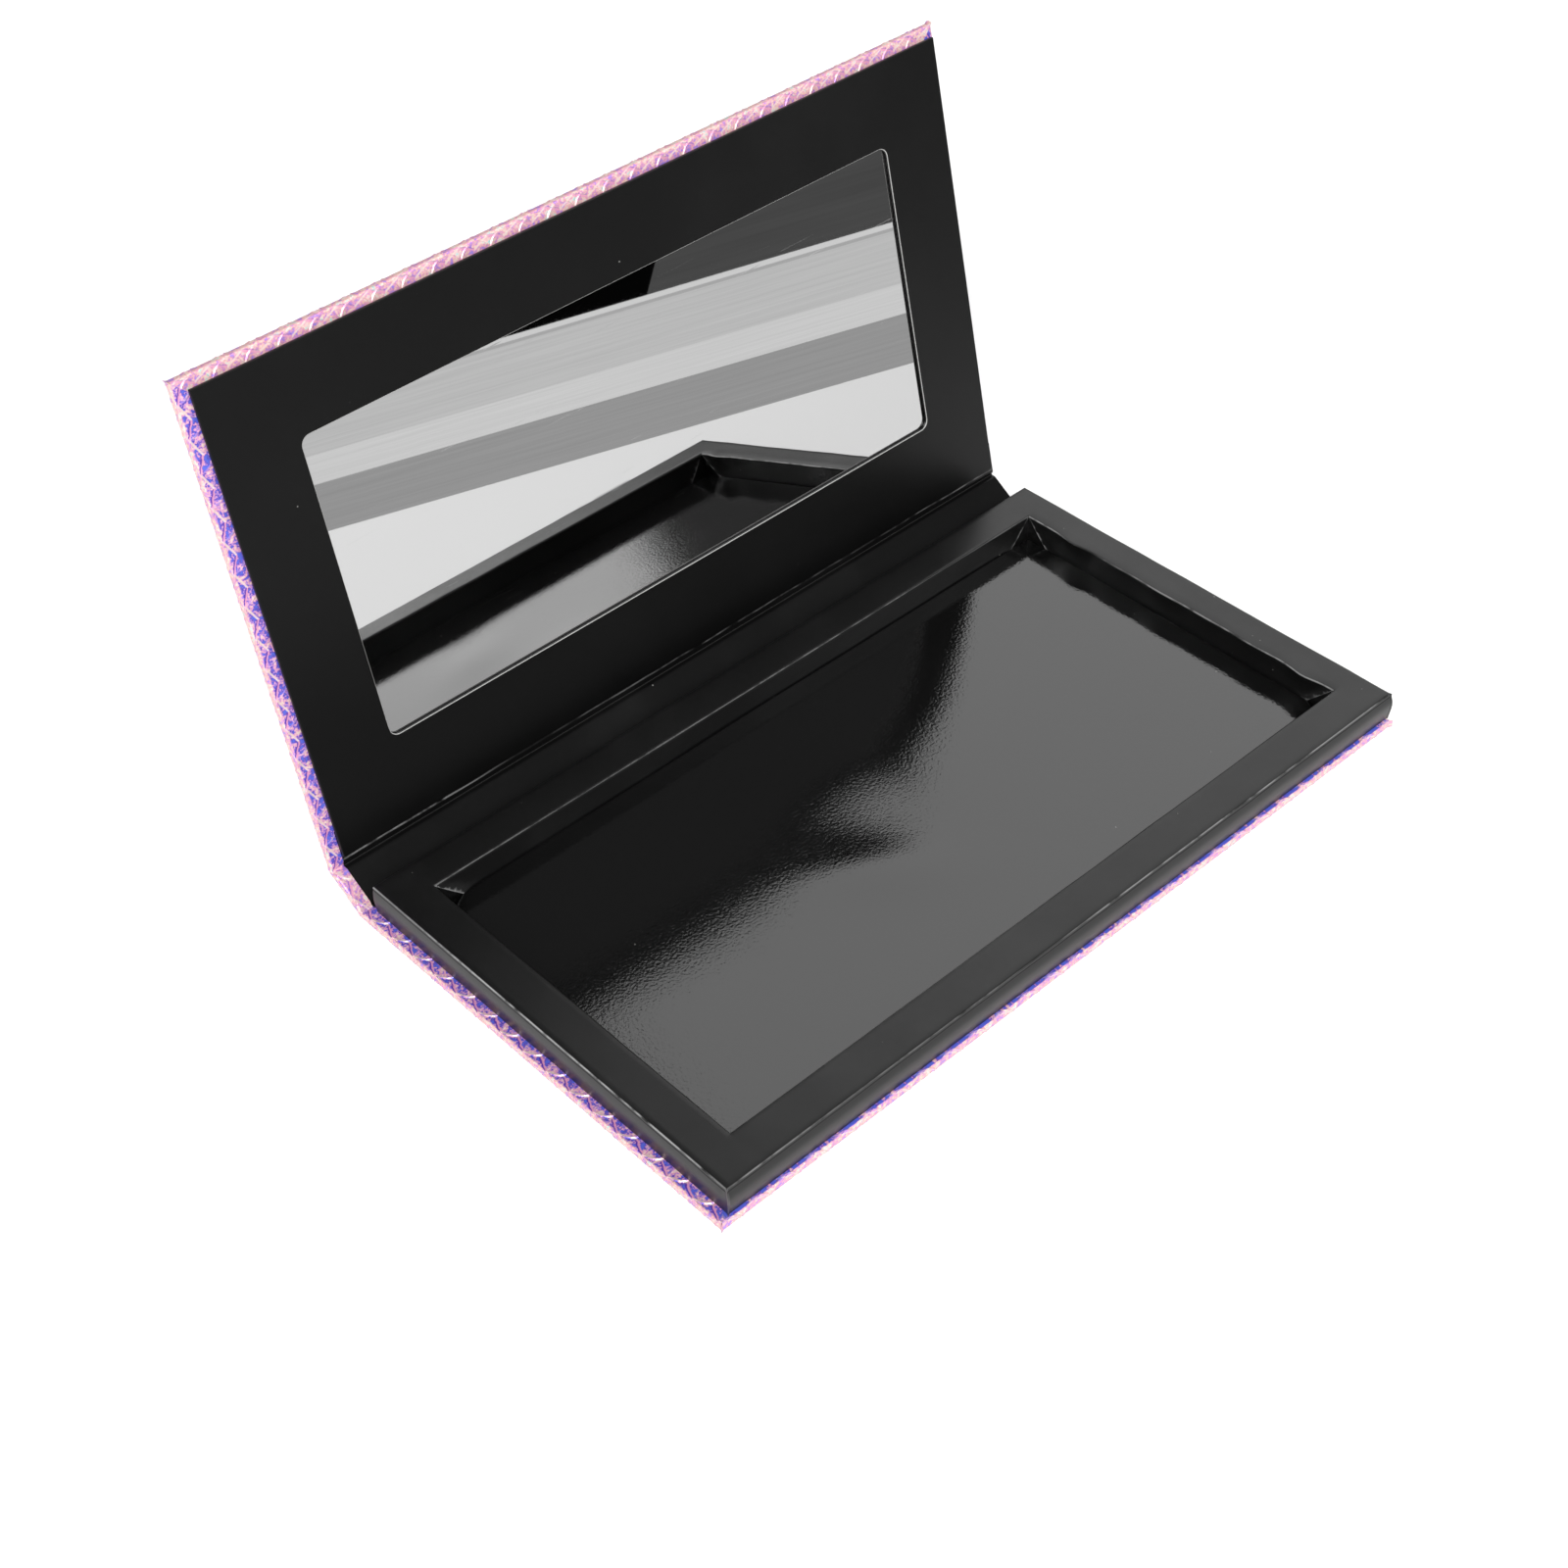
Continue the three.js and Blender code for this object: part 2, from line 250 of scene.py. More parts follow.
def pick(item, kind, test):
    """Selects only the vertices, edges or faces that pass a test, and says how many there are."""
    bpy.ops.mesh.select_all(action="DESELECT")
    body = bmesh.from_edit_mesh(item.data)
    found = 0
    for part in getattr(body, kind):
        if test(part):
            part.select_set(True)
            found += 1
    bmesh.update_edit_mesh(item.data, loop_triangles=False, destructive=False)
    return found


def along_axis(axis, amount=1.0):
    """A vector along one axis."""
    vector = Vector()
    vector[axis] = amount
    return vector


def beyond(axis, side, limit):
    """A test for faces whose middle lies past a limit, on one side of an axis."""
    return lambda face: side * face.calc_center_median()[axis] > limit


def cut(item, point, normal, faces=None, clear=False):
    """Cuts a mesh, or some of its faces, along a plane, and may clear what is on the normal's side."""
    if faces is None:
        bpy.ops.mesh.select_all(action="SELECT")
    elif not pick(item, "faces", faces):
        return
    bpy.ops.mesh.bisect(plane_co=point, plane_no=normal, clear_outer=clear, threshold=TOLERANCE)


def remove_faces(item, test):
    if pick(item, "faces", test):
        bpy.ops.mesh.delete(type="FACE")


def apply_modifier(item, kind, **values):
    """Adds one modifier and applies it."""
    only(item)
    bpy.ops.object.modifier_add(type=kind)
    modifier = item.modifiers[-1]
    for name, value in values.items():
        setattr(modifier, name, value)
    bpy.ops.object.modifier_apply(modifier=modifier.name)


def thicken(item, thickness):
    """Gives a sheet its thickness, on the side away from its face."""
    apply_modifier(item, "SOLIDIFY", thickness=thickness, offset=-1)


def settle(item, place):
    """Moves a finished mesh to its place and leaves its object at the origin."""
    only(item)
    item.matrix_world = place @ item.matrix_world
    bpy.ops.object.transform_apply(location=True, rotation=True, scale=True)


def new_piece(name, add, **values):
    """Adds a primitive with nothing else selected."""
    bpy.ops.object.select_all(action="DESELECT")
    add(**values)
    item = bpy.context.object
    item.name = name
    item.data.name = name
    return item


def flat_piece(name, low, high, level, columns=0, rows=0):
    """Adds a flat rectangle between two corners, as one face or as a grid."""
    if columns:
        item = new_piece(
            name, bpy.ops.mesh.primitive_grid_add, size=1, x_subdivisions=columns, y_subdivisions=rows
        )
    else:
        item = new_piece(name, bpy.ops.mesh.primitive_plane_add, size=1)
    place = Matrix.Translation(((low[0] + high[0]) / 2, (low[1] + high[1]) / 2, level))
    settle(item, place @ Matrix.Diagonal((high[0] - low[0], high[1] - low[1], 1, 1)))
    return item


def joined(name, items):
    bpy.ops.object.select_all(action="DESELECT")
    for item in items:
        item.select_set(True)
    bpy.context.view_layer.objects.active = items[0]
    bpy.ops.object.join()
    items[0].name = name
    return items[0]


def smooth(item, degrees):
    only(item)
    bpy.ops.object.shade_smooth_by_angle(angle=math.radians(degrees))


# Units of a UV map in a metre of flat sheet
CHART_SCALE = 10


def points(item):
    """All vertex places of a mesh, as rows."""
    rows = np.empty(len(item.data.vertices) * 3, np.float32)
    item.data.vertices.foreach_get("co", rows)
    return rows.reshape(-1, 3).astype(float)


def set_points(item, rows):
    item.data.vertices.foreach_set("co", rows.astype(np.float32).ravel())
    item.data.update()


def set_attribute(item, name, values):
    layer = item.data.attributes.get(name) or item.data.attributes.new(name, "FLOAT", "POINT")
    layer.data.foreach_set("value", np.asarray(values, np.float32))


def flat_map(item, name, rows):
    """A UV map that keeps where each point lay in the flat sheet."""
    mesh = item.data
    layer = mesh.uv_layers.new(name=name)
    corner = np.empty(len(mesh.loops), np.int32)
    mesh.loops.foreach_get("vertex_index", corner)
    layer.data.foreach_set("uv", (rows[corner, :2] * CHART_SCALE).astype(np.float32).ravel())


def dressed(item, finish, slot, *nodes, body=None):
    """Gives a piece its finish, lets it stand for its CAD nodes, and lets it ride on a body. The slot is
    not used.
    """
    item.data.materials.clear()
    item.data.materials.append(finish)
    if nodes:
        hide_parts(*nodes)
    if body:
        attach(item, body)
    return item


# Shader expressions

class Shade:
    """A socket in a material, so that shader maths reads as an expression."""

    def __init__(self, finish, socket):
        self.finish = finish
        self.socket = socket

    def math(self, operation, first, second):
        return self.finish.add("ShaderNodeMath", {"operation": operation}, {0: first, 1: second})

    def __add__(self, other):
        return self.math("ADD", self, other)

    def __radd__(self, other):
        return self.math("ADD", other, self)

    def __sub__(self, other):
        return self.math("SUBTRACT", self, other)

    def __rsub__(self, other):
        return self.math("SUBTRACT", other, self)

    def __mul__(self, other):
        return self.math("MULTIPLY", self, other)

    def __rmul__(self, other):
        return self.math("MULTIPLY", other, self)

    def __truediv__(self, other):
        return self.math("DIVIDE", self, other)

    def __rtruediv__(self, other):
        return self.math("DIVIDE", other, self)

    def __abs__(self):
        return self.math("ABSOLUTE", self, 0)

    def __mod__(self, other):
        return self.math("FRACT", self / other, 0) * other


class Finish:
    """A material with one Principled shader. Constants go on the shader's own sockets."""

    def __init__(self, name, **constants):
        self.material = bpy.data.materials.new(name)
        self.material.use_nodes = True
        self.tree = self.material.node_tree
        self.shader = self.tree.nodes["Principled BSDF"]
        for socket, value in constants.items():
            self.feed(socket.replace("_", " "), value)

    def add(self, kind, values=None, sockets=None, output=0):
        """One node: its settings are set first, and then the values or links of its sockets."""
        node = self.tree.nodes.new(kind)
        for name, value in (values or {}).items():
            if name == "stops":
                self.set_stops(node.color_ramp, value)
            else:
                setattr(node, name, value)
        for name, value in (sockets or {}).items():
            self.join(value, node.inputs[name])
        return Shade(self, node.outputs[output])

    def set_stops(self, ramp, stops):
        while len(ramp.elements) < len(stops):
            ramp.elements.new(0.5)
        for element, (place, tone) in zip(ramp.elements, stops):
            element.position = place
            element.color = (*tone, 1)

    def join(self, value, socket):
        if isinstance(value, Shade):
            self.tree.links.new(value.socket, socket)
        elif socket.type == "RGBA" and len(value) == 3:
            socket.default_value = (*value, 1)
        else:
            socket.default_value = value

    def feed(self, socket, value):
        self.join(value, self.shader.inputs[socket])

    def place(self):
        return self.add("ShaderNodeTexCoord", output="Object")

    def chart(self, name):
        return self.add("ShaderNodeUVMap", {"uv_map": name})

    def attribute(self, name):
        return self.add("ShaderNodeAttribute", {"attribute_name": name}, output="Fac")

    def noise(self, vector, scale, detail=2.0, roughness=0.5):
        return self.add(
            "ShaderNodeTexNoise",
            sockets={"Vector": vector, "Scale": scale, "Detail": detail, "Roughness": roughness},
        )

    def step(self, value, low, high):
        """0 below the low value, 1 above the high one, and a smooth rise between them."""
        return self.add(
            "ShaderNodeMapRange",
            {"interpolation_type": "SMOOTHSTEP"},
            {"Value": value, "From Min": low, "From Max": high},
        )

    def mix(self, factor, first, second):
        sockets = {0: factor, 6: first, 7: second}
        return self.add("ShaderNodeMix", {"data_type": "RGBA"}, sockets, output=2)

    def ramp(self, value, stops):
        return self.add("ShaderNodeValToRGB", {"stops": stops}, {"Fac": value})

    def band(self, value, low, rise, fall, high):
        """1 from the rise to the fall, and smooth slopes down to 0 on both sides."""
        return self.step(value, low, rise) * (1 - self.step(value, fall, high))

    def part(self, vector, axis):
        return self.add("ShaderNodeSeparateXYZ", {}, {"Vector": vector}, output=axis)

    def stretched(self, vector, scale):
        return self.add("ShaderNodeMapping", {}, {"Vector": vector, "Scale": scale})

    def specks(self, vector, scale, size, kept):
        """Small round specks at the points of a cell pattern, of which only a share is kept."""
        cells = {"Vector": vector, "Scale": scale}
        away = self.add("ShaderNodeTexVoronoi", {}, cells, output="Distance")
        lot = self.add("ShaderNodeTexVoronoi", {}, cells, output="Color")
        chosen = self.add("ShaderNodeSeparateColor", {}, {"Color": lot})
        return (1 - self.step(away, size / 2, size)) * self.step(chosen, 1 - kept, 1 - kept / 2)

    def bump(self, height, strength, distance):
        values = {"Strength": strength, "Distance": distance, "Height": height}
        self.feed("Normal", self.add("ShaderNodeBump", sockets=values))


def darker(tone, share_left):
    return tuple(share_left * part for part in tone)


# Where parts of the film lie on its chart, counted from the rear hinge
FRONT_TURN_IN = (-1.125, -1.12)
SPINE_RUN = (-0.01, 0.01, 0.095, 0.115)
LID_TOP = (1.19, 1.215)


def film_finish(film):
    """Iridescent film: blue and violet inside the covers, pink and cream round their edges.

    The reach is how far, in millimetres, a point of the film lies beyond the start of a cover's edge.
    """
    finish = Finish("palette_film", Metallic=0.25, IOR=1.5, Coat_Weight=0.15, Coat_Roughness=0.2)
    sheet = finish.chart("sheet")
    scale = finish.chart("scale")
    local = finish.part(scale, "Y")
    across = finish.part(scale, "X")
    run = finish.part(sheet, "Y")
    breadth = finish.part(sheet, "X")
    ridge = finish.attribute("ridge")
    reach = finish.attribute("reach")
    drift = finish.noise(sheet, 3.2, 2)
    patch = finish.noise(sheet, 30, 2)
    mottle = finish.noise(sheet, 85, 2)
    grain = finish.noise(sheet, 210, 3)
    ripple = finish.noise(finish.stretched(sheet, (75, 22, 1)), 1.0, 1)
    front = 1 - finish.step(run, *FRONT_TURN_IN)
    colder = front * (1.2 + finish.step(breadth, -0.2, 0.8) * 0.9)
    inside = finish.step(reach + (patch - 0.5) * 1.2 + colder, 2.3, 2.9)
    wall = finish.step(reach, 0.1, 0.6)
    warm = finish.step(run, *LID_TOP) + finish.band(run, *SPINE_RUN) * 0.8

    blend = mottle * 0.6 + patch * 0.4 + (grain - 0.5) * 0.5
    cold_heart = finish.ramp(blend + across * 0.06 + (ripple - 0.62) * front, (
        (0.3, film.blue), (0.425, film.blue), (0.465, film.violet), (0.51, film.lilac),
        (0.57, film.pink), (0.66, film.cream),
    ))
    warm_heart = finish.ramp(blend + local * 0.05, (
        (0.33, film.lilac), (0.45, film.pink), (0.51, film.peach), (0.59, film.cream), (0.68, film.aqua),
    ))
    outer_heart = finish.ramp(drift * 0.7 + patch * 0.4 + (grain - 0.5) * 0.3 + across * 0.2, (
        (0.22, film.blue), (0.36, film.violet), (0.46, film.lilac), (0.58, film.pink),
        (0.7, film.peach), (0.84, film.aqua),
    ))
    heart = finish.mix(wall, outer_heart, warm_heart)
    heart = finish.mix(inside * (1 - warm * 0.9), heart, cold_heart)

    # Ridges of whole scales on the outside, and their zigzag where they are folded over an edge, painted
    # as light on the embossing: pale painted highlights and violet painted shade
    folded = finish.step(reach, 0.3, 0.8)
    fine_ridge = ridge + (grain - 0.5) * 0.3
    # Violet painted shade on one side of each ridge
    shadow = finish.band(fine_ridge, 0.06, 0.2, 0.35, 0.5)
    shadow = shadow * finish.step(local + (patch - 0.5) * 1.4, -0.2, 0.1) * (0.4 - folded * 0.3)
    # Pale painted highlight along each ridge
    ridge_highlight = finish.step(fine_ridge, 0.38, 0.56) * (0.9 - folded * 0.6)
    # Zigzag of the folded scales, painted as light: a violet painted shade line beside two pale painted
    # highlight lines
    phase = (finish.attribute("along") + (mottle - 0.5) * 0.12) % 1.0
    zigzag = abs(phase - 0.5) * 2 + (mottle - 0.5) * 0.3
    upper = reach - 2.45 - zigzag * 1.7
    lower = reach - 2.3 + zigzag * 1.5
    rising = finish.step(phase, 0.46, 0.54)
    seam = 1 - front * 0.75
    zigzag_shade = finish.band(upper, -0.55, -0.35, -0.15, 0.0) * rising
    zigzag_highlight = finish.band(upper, -0.2, -0.05, 0.2, 0.4)
    low_zigzag_highlight = 1 - finish.step(abs(lower), 0.12, 0.3)
    tone = finish.mix(shadow, heart, film.violet)
    tone = finish.mix(zigzag_shade * folded * seam * (1 - warm * 0.6) * 0.9, tone, film.violet)
    ridge_highlight_tone = finish.mix(finish.step(mottle, 0.4, 0.6), film.pink, film.cream)
    tone = finish.mix(ridge_highlight, tone, ridge_highlight_tone)
    tone = finish.mix(zigzag_highlight * folded * seam * 0.85, tone, finish.mix(rising, film.cream, film.pink))
    tone = finish.mix(low_zigzag_highlight * folded * seam * 0.6, tone, finish.mix(rising, film.pink, film.cream))
    # Grey line along each cover's first fold, painted shade in place of the contact shadow and outline;
    # lilac on the lid's top strip and the spine
    rim = finish.step(reach, 0.02, 0.2) * (1 - finish.step(reach + (mottle - 0.5) * 0.5, 0.35, 0.7))
    tone = finish.mix(rim * 0.7, tone, finish.mix(warm, film.rim, film.lilac))
    finish.feed("Base Color", tone)
    finish.feed("Roughness", 0.28 + grain * 0.18)
    finish.bump(grain + finish.noise(sheet, 420, 2) * 0.4, strength=0.25, distance=0.2 * MM)
    return finish.material


def paper_finish(name, paper, gloss):
    """Satin black paper with fine fibre, rubbed patches, pale painted highlights along its folds that
    are partly worn fibre, and a little dust.
    """
    finish = Finish("palette_" + name, IOR=1.58, Specular_IOR_Level=gloss)
    place = finish.place()
    fibre = finish.noise(finish.stretched(place, (900, 900, 2600)), 1.0, 4)
    cloud = finish.noise(place, 45, 3)
    fine = finish.noise(place, 5200, 2)
    dust = finish.specks(place, 420, size=0.085, kept=0.05)
    rubbed = finish.step(cloud, 0.5, 0.75) * 0.35 + (fibre - 0.5) * 0.2
    shade = finish.mix(rubbed, paper.black, paper.worn)
    # Pale lines where the crease mark is positive: painted highlights along the folds, partly worn
    # fibre, and the slits' pale cut edges
    crease = finish.attribute("crease")
    broken = finish.step(finish.noise(place, 260, 3), 0.3, 0.6)
    broken = broken * finish.step(finish.noise(place, 24, 1), 0.3, 0.6)
    pale_highlight_and_wear = finish.step(crease, 0.2, 1.0) * broken
    sunken = finish.step(0 - crease, 0.2, 0.9)
    shade = finish.mix(pale_highlight_and_wear, shade, paper.crease)
    finish.feed("Base Color", finish.mix(dust * 0.5, shade, paper.dust))
    finish.feed("Roughness", 0.34 + (cloud - 0.5) * 0.16 + (fibre - 0.5) * 0.1 + sunken * 0.5)
    finish.bump(fine * 0.6 + fibre * 0.4, strength=0.12, distance=0.06 * MM)
    return finish.material


def card_finish(card, paper):
    """Satin black card with faint dust."""
    finish = Finish("palette_card", IOR=1.4, Specular_IOR_Level=0.34)
    place = finish.place()
    cloud = finish.noise(place, 30, 3)
    fine = finish.noise(place, 4600, 3)
    dust = finish.specks(place, 300, size=0.07, kept=0.04)
    shade = finish.mix(finish.step(cloud, 0.45, 0.8) * 0.2, card.black, paper.worn)
    finish.feed("Base Color", finish.mix(dust * 0.45, shade, paper.dust))
    finish.feed("Roughness", 0.36 + (cloud - 0.5) * 0.14)
    finish.bump(fine, strength=0.1, distance=0.05 * MM)
    return finish.material


def core_finish(name, tone):
    """Cut edge of card or paper, with its layers of fibre."""
    finish = Finish("palette_" + name, Roughness=0.9)
    fibre = finish.noise(finish.place(), 3800, 3)
    finish.feed("Base Color", finish.mix(fibre, darker(tone, 0.6), tone))
    finish.bump(fibre, strength=0.3, distance=0.05 * MM)
    return finish.material


def gloss_finish(sheet, paper):
    """Gloss black film with fine orange peel and dust."""
    finish = Finish("palette_gloss", IOR=1.75, Specular_IOR_Level=0.5)
    place = finish.place()
    peel = finish.noise(place, 1650, 2)
    cloud = finish.noise(place, 28, 2)
    dust = finish.specks(place, 380, size=0.07, kept=0.05)
    finish.feed("Base Color", finish.mix(dust * 0.35, sheet.black, paper.dust))
    finish.feed("Roughness", 0.05 + peel * 0.05 + (cloud - 0.5) * 0.04)
    finish.bump(peel, strength=0.36, distance=0.06 * MM)
    return finish.material


def mirror_finish(stock):
    """Silvered sheet with a few hair scratches and dust."""
    finish = Finish("palette_mirror", Metallic=1.0)
    place = finish.place()
    streak = finish.noise(finish.stretched(place, (60, 60, 1500)), 1.0, 2)
    scratch = finish.step(streak, 0.7, 0.74)
    dust = finish.specks(place, 260, size=0.06, kept=0.12)
    finish.feed("Base Color", finish.mix(dust * 0.5, stock.silver, darker(stock.silver, 0.72)))
    finish.feed("Roughness", 0.012 + scratch * 0.05 + dust * 0.2)
    return finish.material


def stock_finish(name, tone, roughness, metallic, grain):
    """Plain stock for inner pieces, mottled at the scale of its own grain."""
    finish = Finish("palette_" + name, Metallic=metallic)
    place = finish.place()
    mottle = finish.noise(place, grain, 4)
    finish.feed("Base Color", finish.mix(mottle, darker(tone, 0.72), tone))
    finish.feed("Roughness", roughness - 0.1 + mottle * 0.2)
    finish.bump(mottle, strength=0.2, distance=0.08 * MM)
    return finish.material


# Embossed film

SCALE_POINTS = 16
FOLD_STEPS = 3
CORNER_STEPS = 4
CREASE_MARGIN = 5 * MM

# Width and height of a scale's inner rings, and the height of its middle, as shares of the whole
SCALE_RINGS = ((0.82, 1.0), (0.5, 0.62))
SCALE_HEART = 0.5

# The most that a scale's flank counts as ridge
FLANK_RIDGE = 0.35


def scale_tile(film):
    """One embossed scale, facing down: a raised rim round a sunken flank and a low crown."""
    radius = film.scale_width / 2
    tile = new_piece(
        "scale", bpy.ops.mesh.primitive_circle_add, vertices=SCALE_POINTS, radius=radius
    )
    with editing(tile, "EDGE") as body:
        for vert in body.verts:
            if vert.co.y > TOLERANCE:
                side = math.copysign(1, vert.co.x)
                vert.co.x, vert.co.y = side * (radius - vert.co.y), radius - abs(vert.co.x)
        bpy.ops.mesh.select_all(action="SELECT")
        width, level = 1.0, 0.0
        for ring_width, ring_level in SCALE_RINGS:
            bpy.ops.mesh.extrude_region_move()
            ratio = ring_width / width
            bpy.ops.transform.resize(value=(ratio, ratio, 1), center_override=(0, 0, 0))
            bpy.ops.transform.translate(value=(0, 0, (ring_level - level) * film.relief))
            width, level = ring_width, ring_level
        bpy.ops.mesh.edge_face_add()
        bpy.ops.mesh.poke()
        bpy.ops.mesh.select_mode(type="VERT")
        pick(tile, "verts", lambda vert: vert.co.xy.length < TOLERANCE)
        bpy.ops.transform.translate(value=(0, 0, (SCALE_HEART - level) * film.relief))
        bpy.ops.mesh.select_all(action="SELECT")
        bpy.ops.mesh.normals_make_consistent(inside=False)
        if bmesh.from_edit_mesh(tile.data).faces[0].normal.z > 0:
            bpy.ops.mesh.flip_normals()
    rows = points(tile)
    ridge = [1.0 if z < TOLERANCE else FLANK_RIDGE * (1 - z / film.relief) for z in rows[:, 2]]
    set_attribute(tile, "ridge", ridge)
    flat_map(tile, "scale", rows / radius / CHART_SCALE)
    return tile


def embossed_sheet(name, film, x_span, y_span):
    """A flat sheet cut from one endless run of scales that starts at the rear hinge, facing down."""
    sheet = scale_tile(film)
    sheet.name = name
    sheet.data.name = name
    radius = film.scale_width / 2
    with editing(sheet):
        bpy.ops.mesh.select_all(action="SELECT")
        bpy.ops.mesh.duplicate_move(TRANSFORM_OT_translate={"value": (radius, radius, 0)})
    first = [math.floor(span[0] / film.scale_width) - 1 for span in (x_span, y_span)]
    last = [math.ceil(span[1] / film.scale_width) + 1 for span in (x_span, y_span)]
    for axis in (0, 1):
        apply_modifier(
            sheet, "ARRAY", use_relative_offset=False, use_constant_offset=True,
            constant_offset_displace=along_axis(axis, film.scale_width),
            count=last[axis] - first[axis] + 1,
        )
    start = (first[0] * film.scale_width, first[1] * film.scale_width, -HALF_THICK)
    settle(sheet, Matrix.Translation(start))
    with editing(sheet):
        bpy.ops.mesh.select_all(action="SELECT")
        bpy.ops.mesh.remove_doubles(threshold=NEAR)
        for axis, span in enumerate((x_span, y_span)):
            for side, limit in zip((-1, 1), span):
                cut(sheet, along_axis(axis, limit), along_axis(axis, side), clear=True)
    return sheet


def wrap_lines(edge, radius, wall, turns):
    """Fold lines, from the middle of a sheet outwards, that take it round one or two board edges."""
    arc = radius * math.pi / 2
    lines = []
    for fold in range(turns):
        start = edge - radius + fold * (arc + wall - 2 * radius)
        for step in range(FOLD_STEPS + 1):
            share_of_turn = 0.5 if step in (0, FOLD_STEPS) else 1.0
            lines.append((start + arc * step / FOLD_STEPS, share_of_turn * math.pi / 2 / FOLD_STEPS))
    return lines


def crease(item, axis, side, lines, faces):
    """Cuts a flat sheet along its fold lines on one side."""
    for place, _ in lines:
        cut(item, along_axis(axis, side * place), along_axis(axis, side), faces)


def fold(item, axis, side, lines, level, upwards, belongs):
    """Turns, line by line from the rim inwards, all of a flat sheet that lies beyond each line.

    A vertex belongs to a flap if the middle of the faces round it does.
    """
    with editing(item) as body:
        flap = []
        for vert in body.verts:
            middles = [face.calc_center_median() for face in vert.link_faces]
            home = sum(middles, Vector()) / max(len(middles), 1)
            if side * vert.co[axis] > lines[0][0] and belongs(home):
                flap.append((vert, side * vert.co[axis]))
        for place, turn in reversed(lines):
            bpy.ops.mesh.select_all(action="DESELECT")
            for vert, reach in flap:
                vert.select_set(reach > place + TOLERANCE)
            bmesh.update_edit_mesh(item.data, loop_triangles=False, destructive=False)
            centre = along_axis(axis, side * place)
            centre.z = level
            sense = side * upwards * (1 if axis == 0 else -1)
            bpy.ops.transform.rotate(value=sense * turn, orient_axis="YX"[axis], center_override=centre)


def spin_corner(item, side, far_side, x, y):
    """Spins the end of a folded side wall round a corner, to meet the wall beside it."""
    with editing(item, "EDGE"):
        found = pick(
            item, "edges",
            lambda edge: edge.is_boundary and all(
                abs(vert.co.y - y) < 2 * NEAR and side * (vert.co.x - x) > -NEAR
                for vert in edge.verts
            ),
        )
        if not found:
            raise RuntimeError(f"{item.name} has no open corner at {x:.4f}, {y:.4f}")
        bpy.ops.mesh.spin(
            steps=CORNER_STEPS, angle=math.radians(-90 * side * far_side),
            center=(x, y, 0), axis=(0, 0, 1),
        )


def wrapped_film(name, film, y_span, far_side):
    """Film round a cover that lies flat: turned in at both ends, and at its far side if it has one."""
    lines = wrap_lines(HALF_WIDTH, film.fold, 2 * HALF_THICK, 2)
    rim = lines[-1][0] + film.turn_in - film.fold
    near, far = sorted(y_span, key=abs)
    far_edge = abs(far)
    far_lines = wrap_lines(far_edge, film.fold, 2 * HALF_THICK, 2)
    span = list(y_span)
    if far_side:
        far_rim = far_lines[-1][0] + film.turn_in - film.fold
        span = sorted((near, far_side * far_rim))
    sheet = embossed_sheet(name, film, (-rim, rim), span)
    side_start = HALF_WIDTH - film.fold
    far_start = far_edge - film.fold
    with editing(sheet, "FACE"):
        for side in (-1, 1):
            crease(sheet, 0, side, lines, beyond(0, side, side_start - CREASE_MARGIN))
        if far_side:
            crease(sheet, 1, far_side, far_lines, beyond(1, far_side, far_start - CREASE_MARGIN))
            at_far = beyond(1, far_side, far_start)
            at_ends = [beyond(0, side, side_start) for side in (-1, 1)]
            remove_faces(sheet, lambda face: at_far(face) and any(test(face) for test in at_ends))
            for side in (-1, 1):
                mitre(sheet, side, far_side, lines[-1][0], far_lines[-1][0], side_start, far_start)
    rows = points(sheet)
    flat_map(sheet, "sheet", rows)
    reach = np.abs(rows[:, 0]) - side_start
    if far_side:
        reach = np.maximum(reach, rows[:, 1] * far_side - far_start)
    set_attribute(sheet, "reach", np.clip(reach, 0, None) / MM)
    on_side = np.abs(rows[:, 0]) > side_start
    set_attribute(sheet, "along", np.where(on_side, rows[:, 1], rows[:, 0]) / film.scale_width)
    for side in (-1, 1):
        fold(sheet, 0, side, lines, -HALF_THICK, 1, lambda home: True)
    if far_side:
        fold(sheet, 1, far_side, far_lines, -HALF_THICK, 1, lambda home: abs(home.x) < side_start)
        for side in (-1, 1):
            spin_corner(sheet, side, far_side, side * side_start, far_side * far_start)
            pinch(sheet, side, far_side, side * side_start, far_side * far_start, film.tip)
    return sheet


def pinch(sheet, side, far_side, x, y, reach):
    """Draws the film at a corner out into a small tip."""
    rows = points(sheet)
    across, along = (rows[:, 0] - x) * side, (rows[:, 1] - y) * far_side
    turn = np.arctan2(np.maximum(along, 0), np.maximum(across, TOLERANCE))
    tip = np.where((across > TOLERANCE) & (along > TOLERANCE), np.sin(2 * turn), 0) ** 3
    rows[:, 0] += side * reach * tip * math.sqrt(0.5)
    rows[:, 1] += far_side * reach * tip * math.sqrt(0.5)
    set_points(sheet, rows)


def mitre(sheet, side, far_side, side_rim, far_rim, side_start, far_start):
    """Cuts the turned-in film at 45 degrees, so that two neighbours meet in a mitre."""
    normal = (side, far_side, 0)
    at_side = (side * side_rim, far_side * far_start, 0)
    cut(sheet, at_side, normal, beyond(0, side, side_rim), clear=True)
    at_far = (side * side_start, far_side * far_rim, 0)
    on_side = beyond(0, side, 0)
    on_flap = beyond(1, far_side, far_rim)
    cut(sheet, at_far, normal, lambda face: on_side(face) and on_flap(face), clear=True)


# Hinges

# Place of each hinge in the laid-out plane, its turn at rest, where it goes, and the bodies beside it
HINGES = {
    "rear": (0.0, SPINE_TURN, BASE_PLACE, ("base", "spine")),
    "lid": (SPINE_PITCH, LID_TURN, SPINE_PLACE, ("spine", "lid")),
}

# Width of the dip in a groove, as a share of half the groove
DIP_WIDTH = 0.55

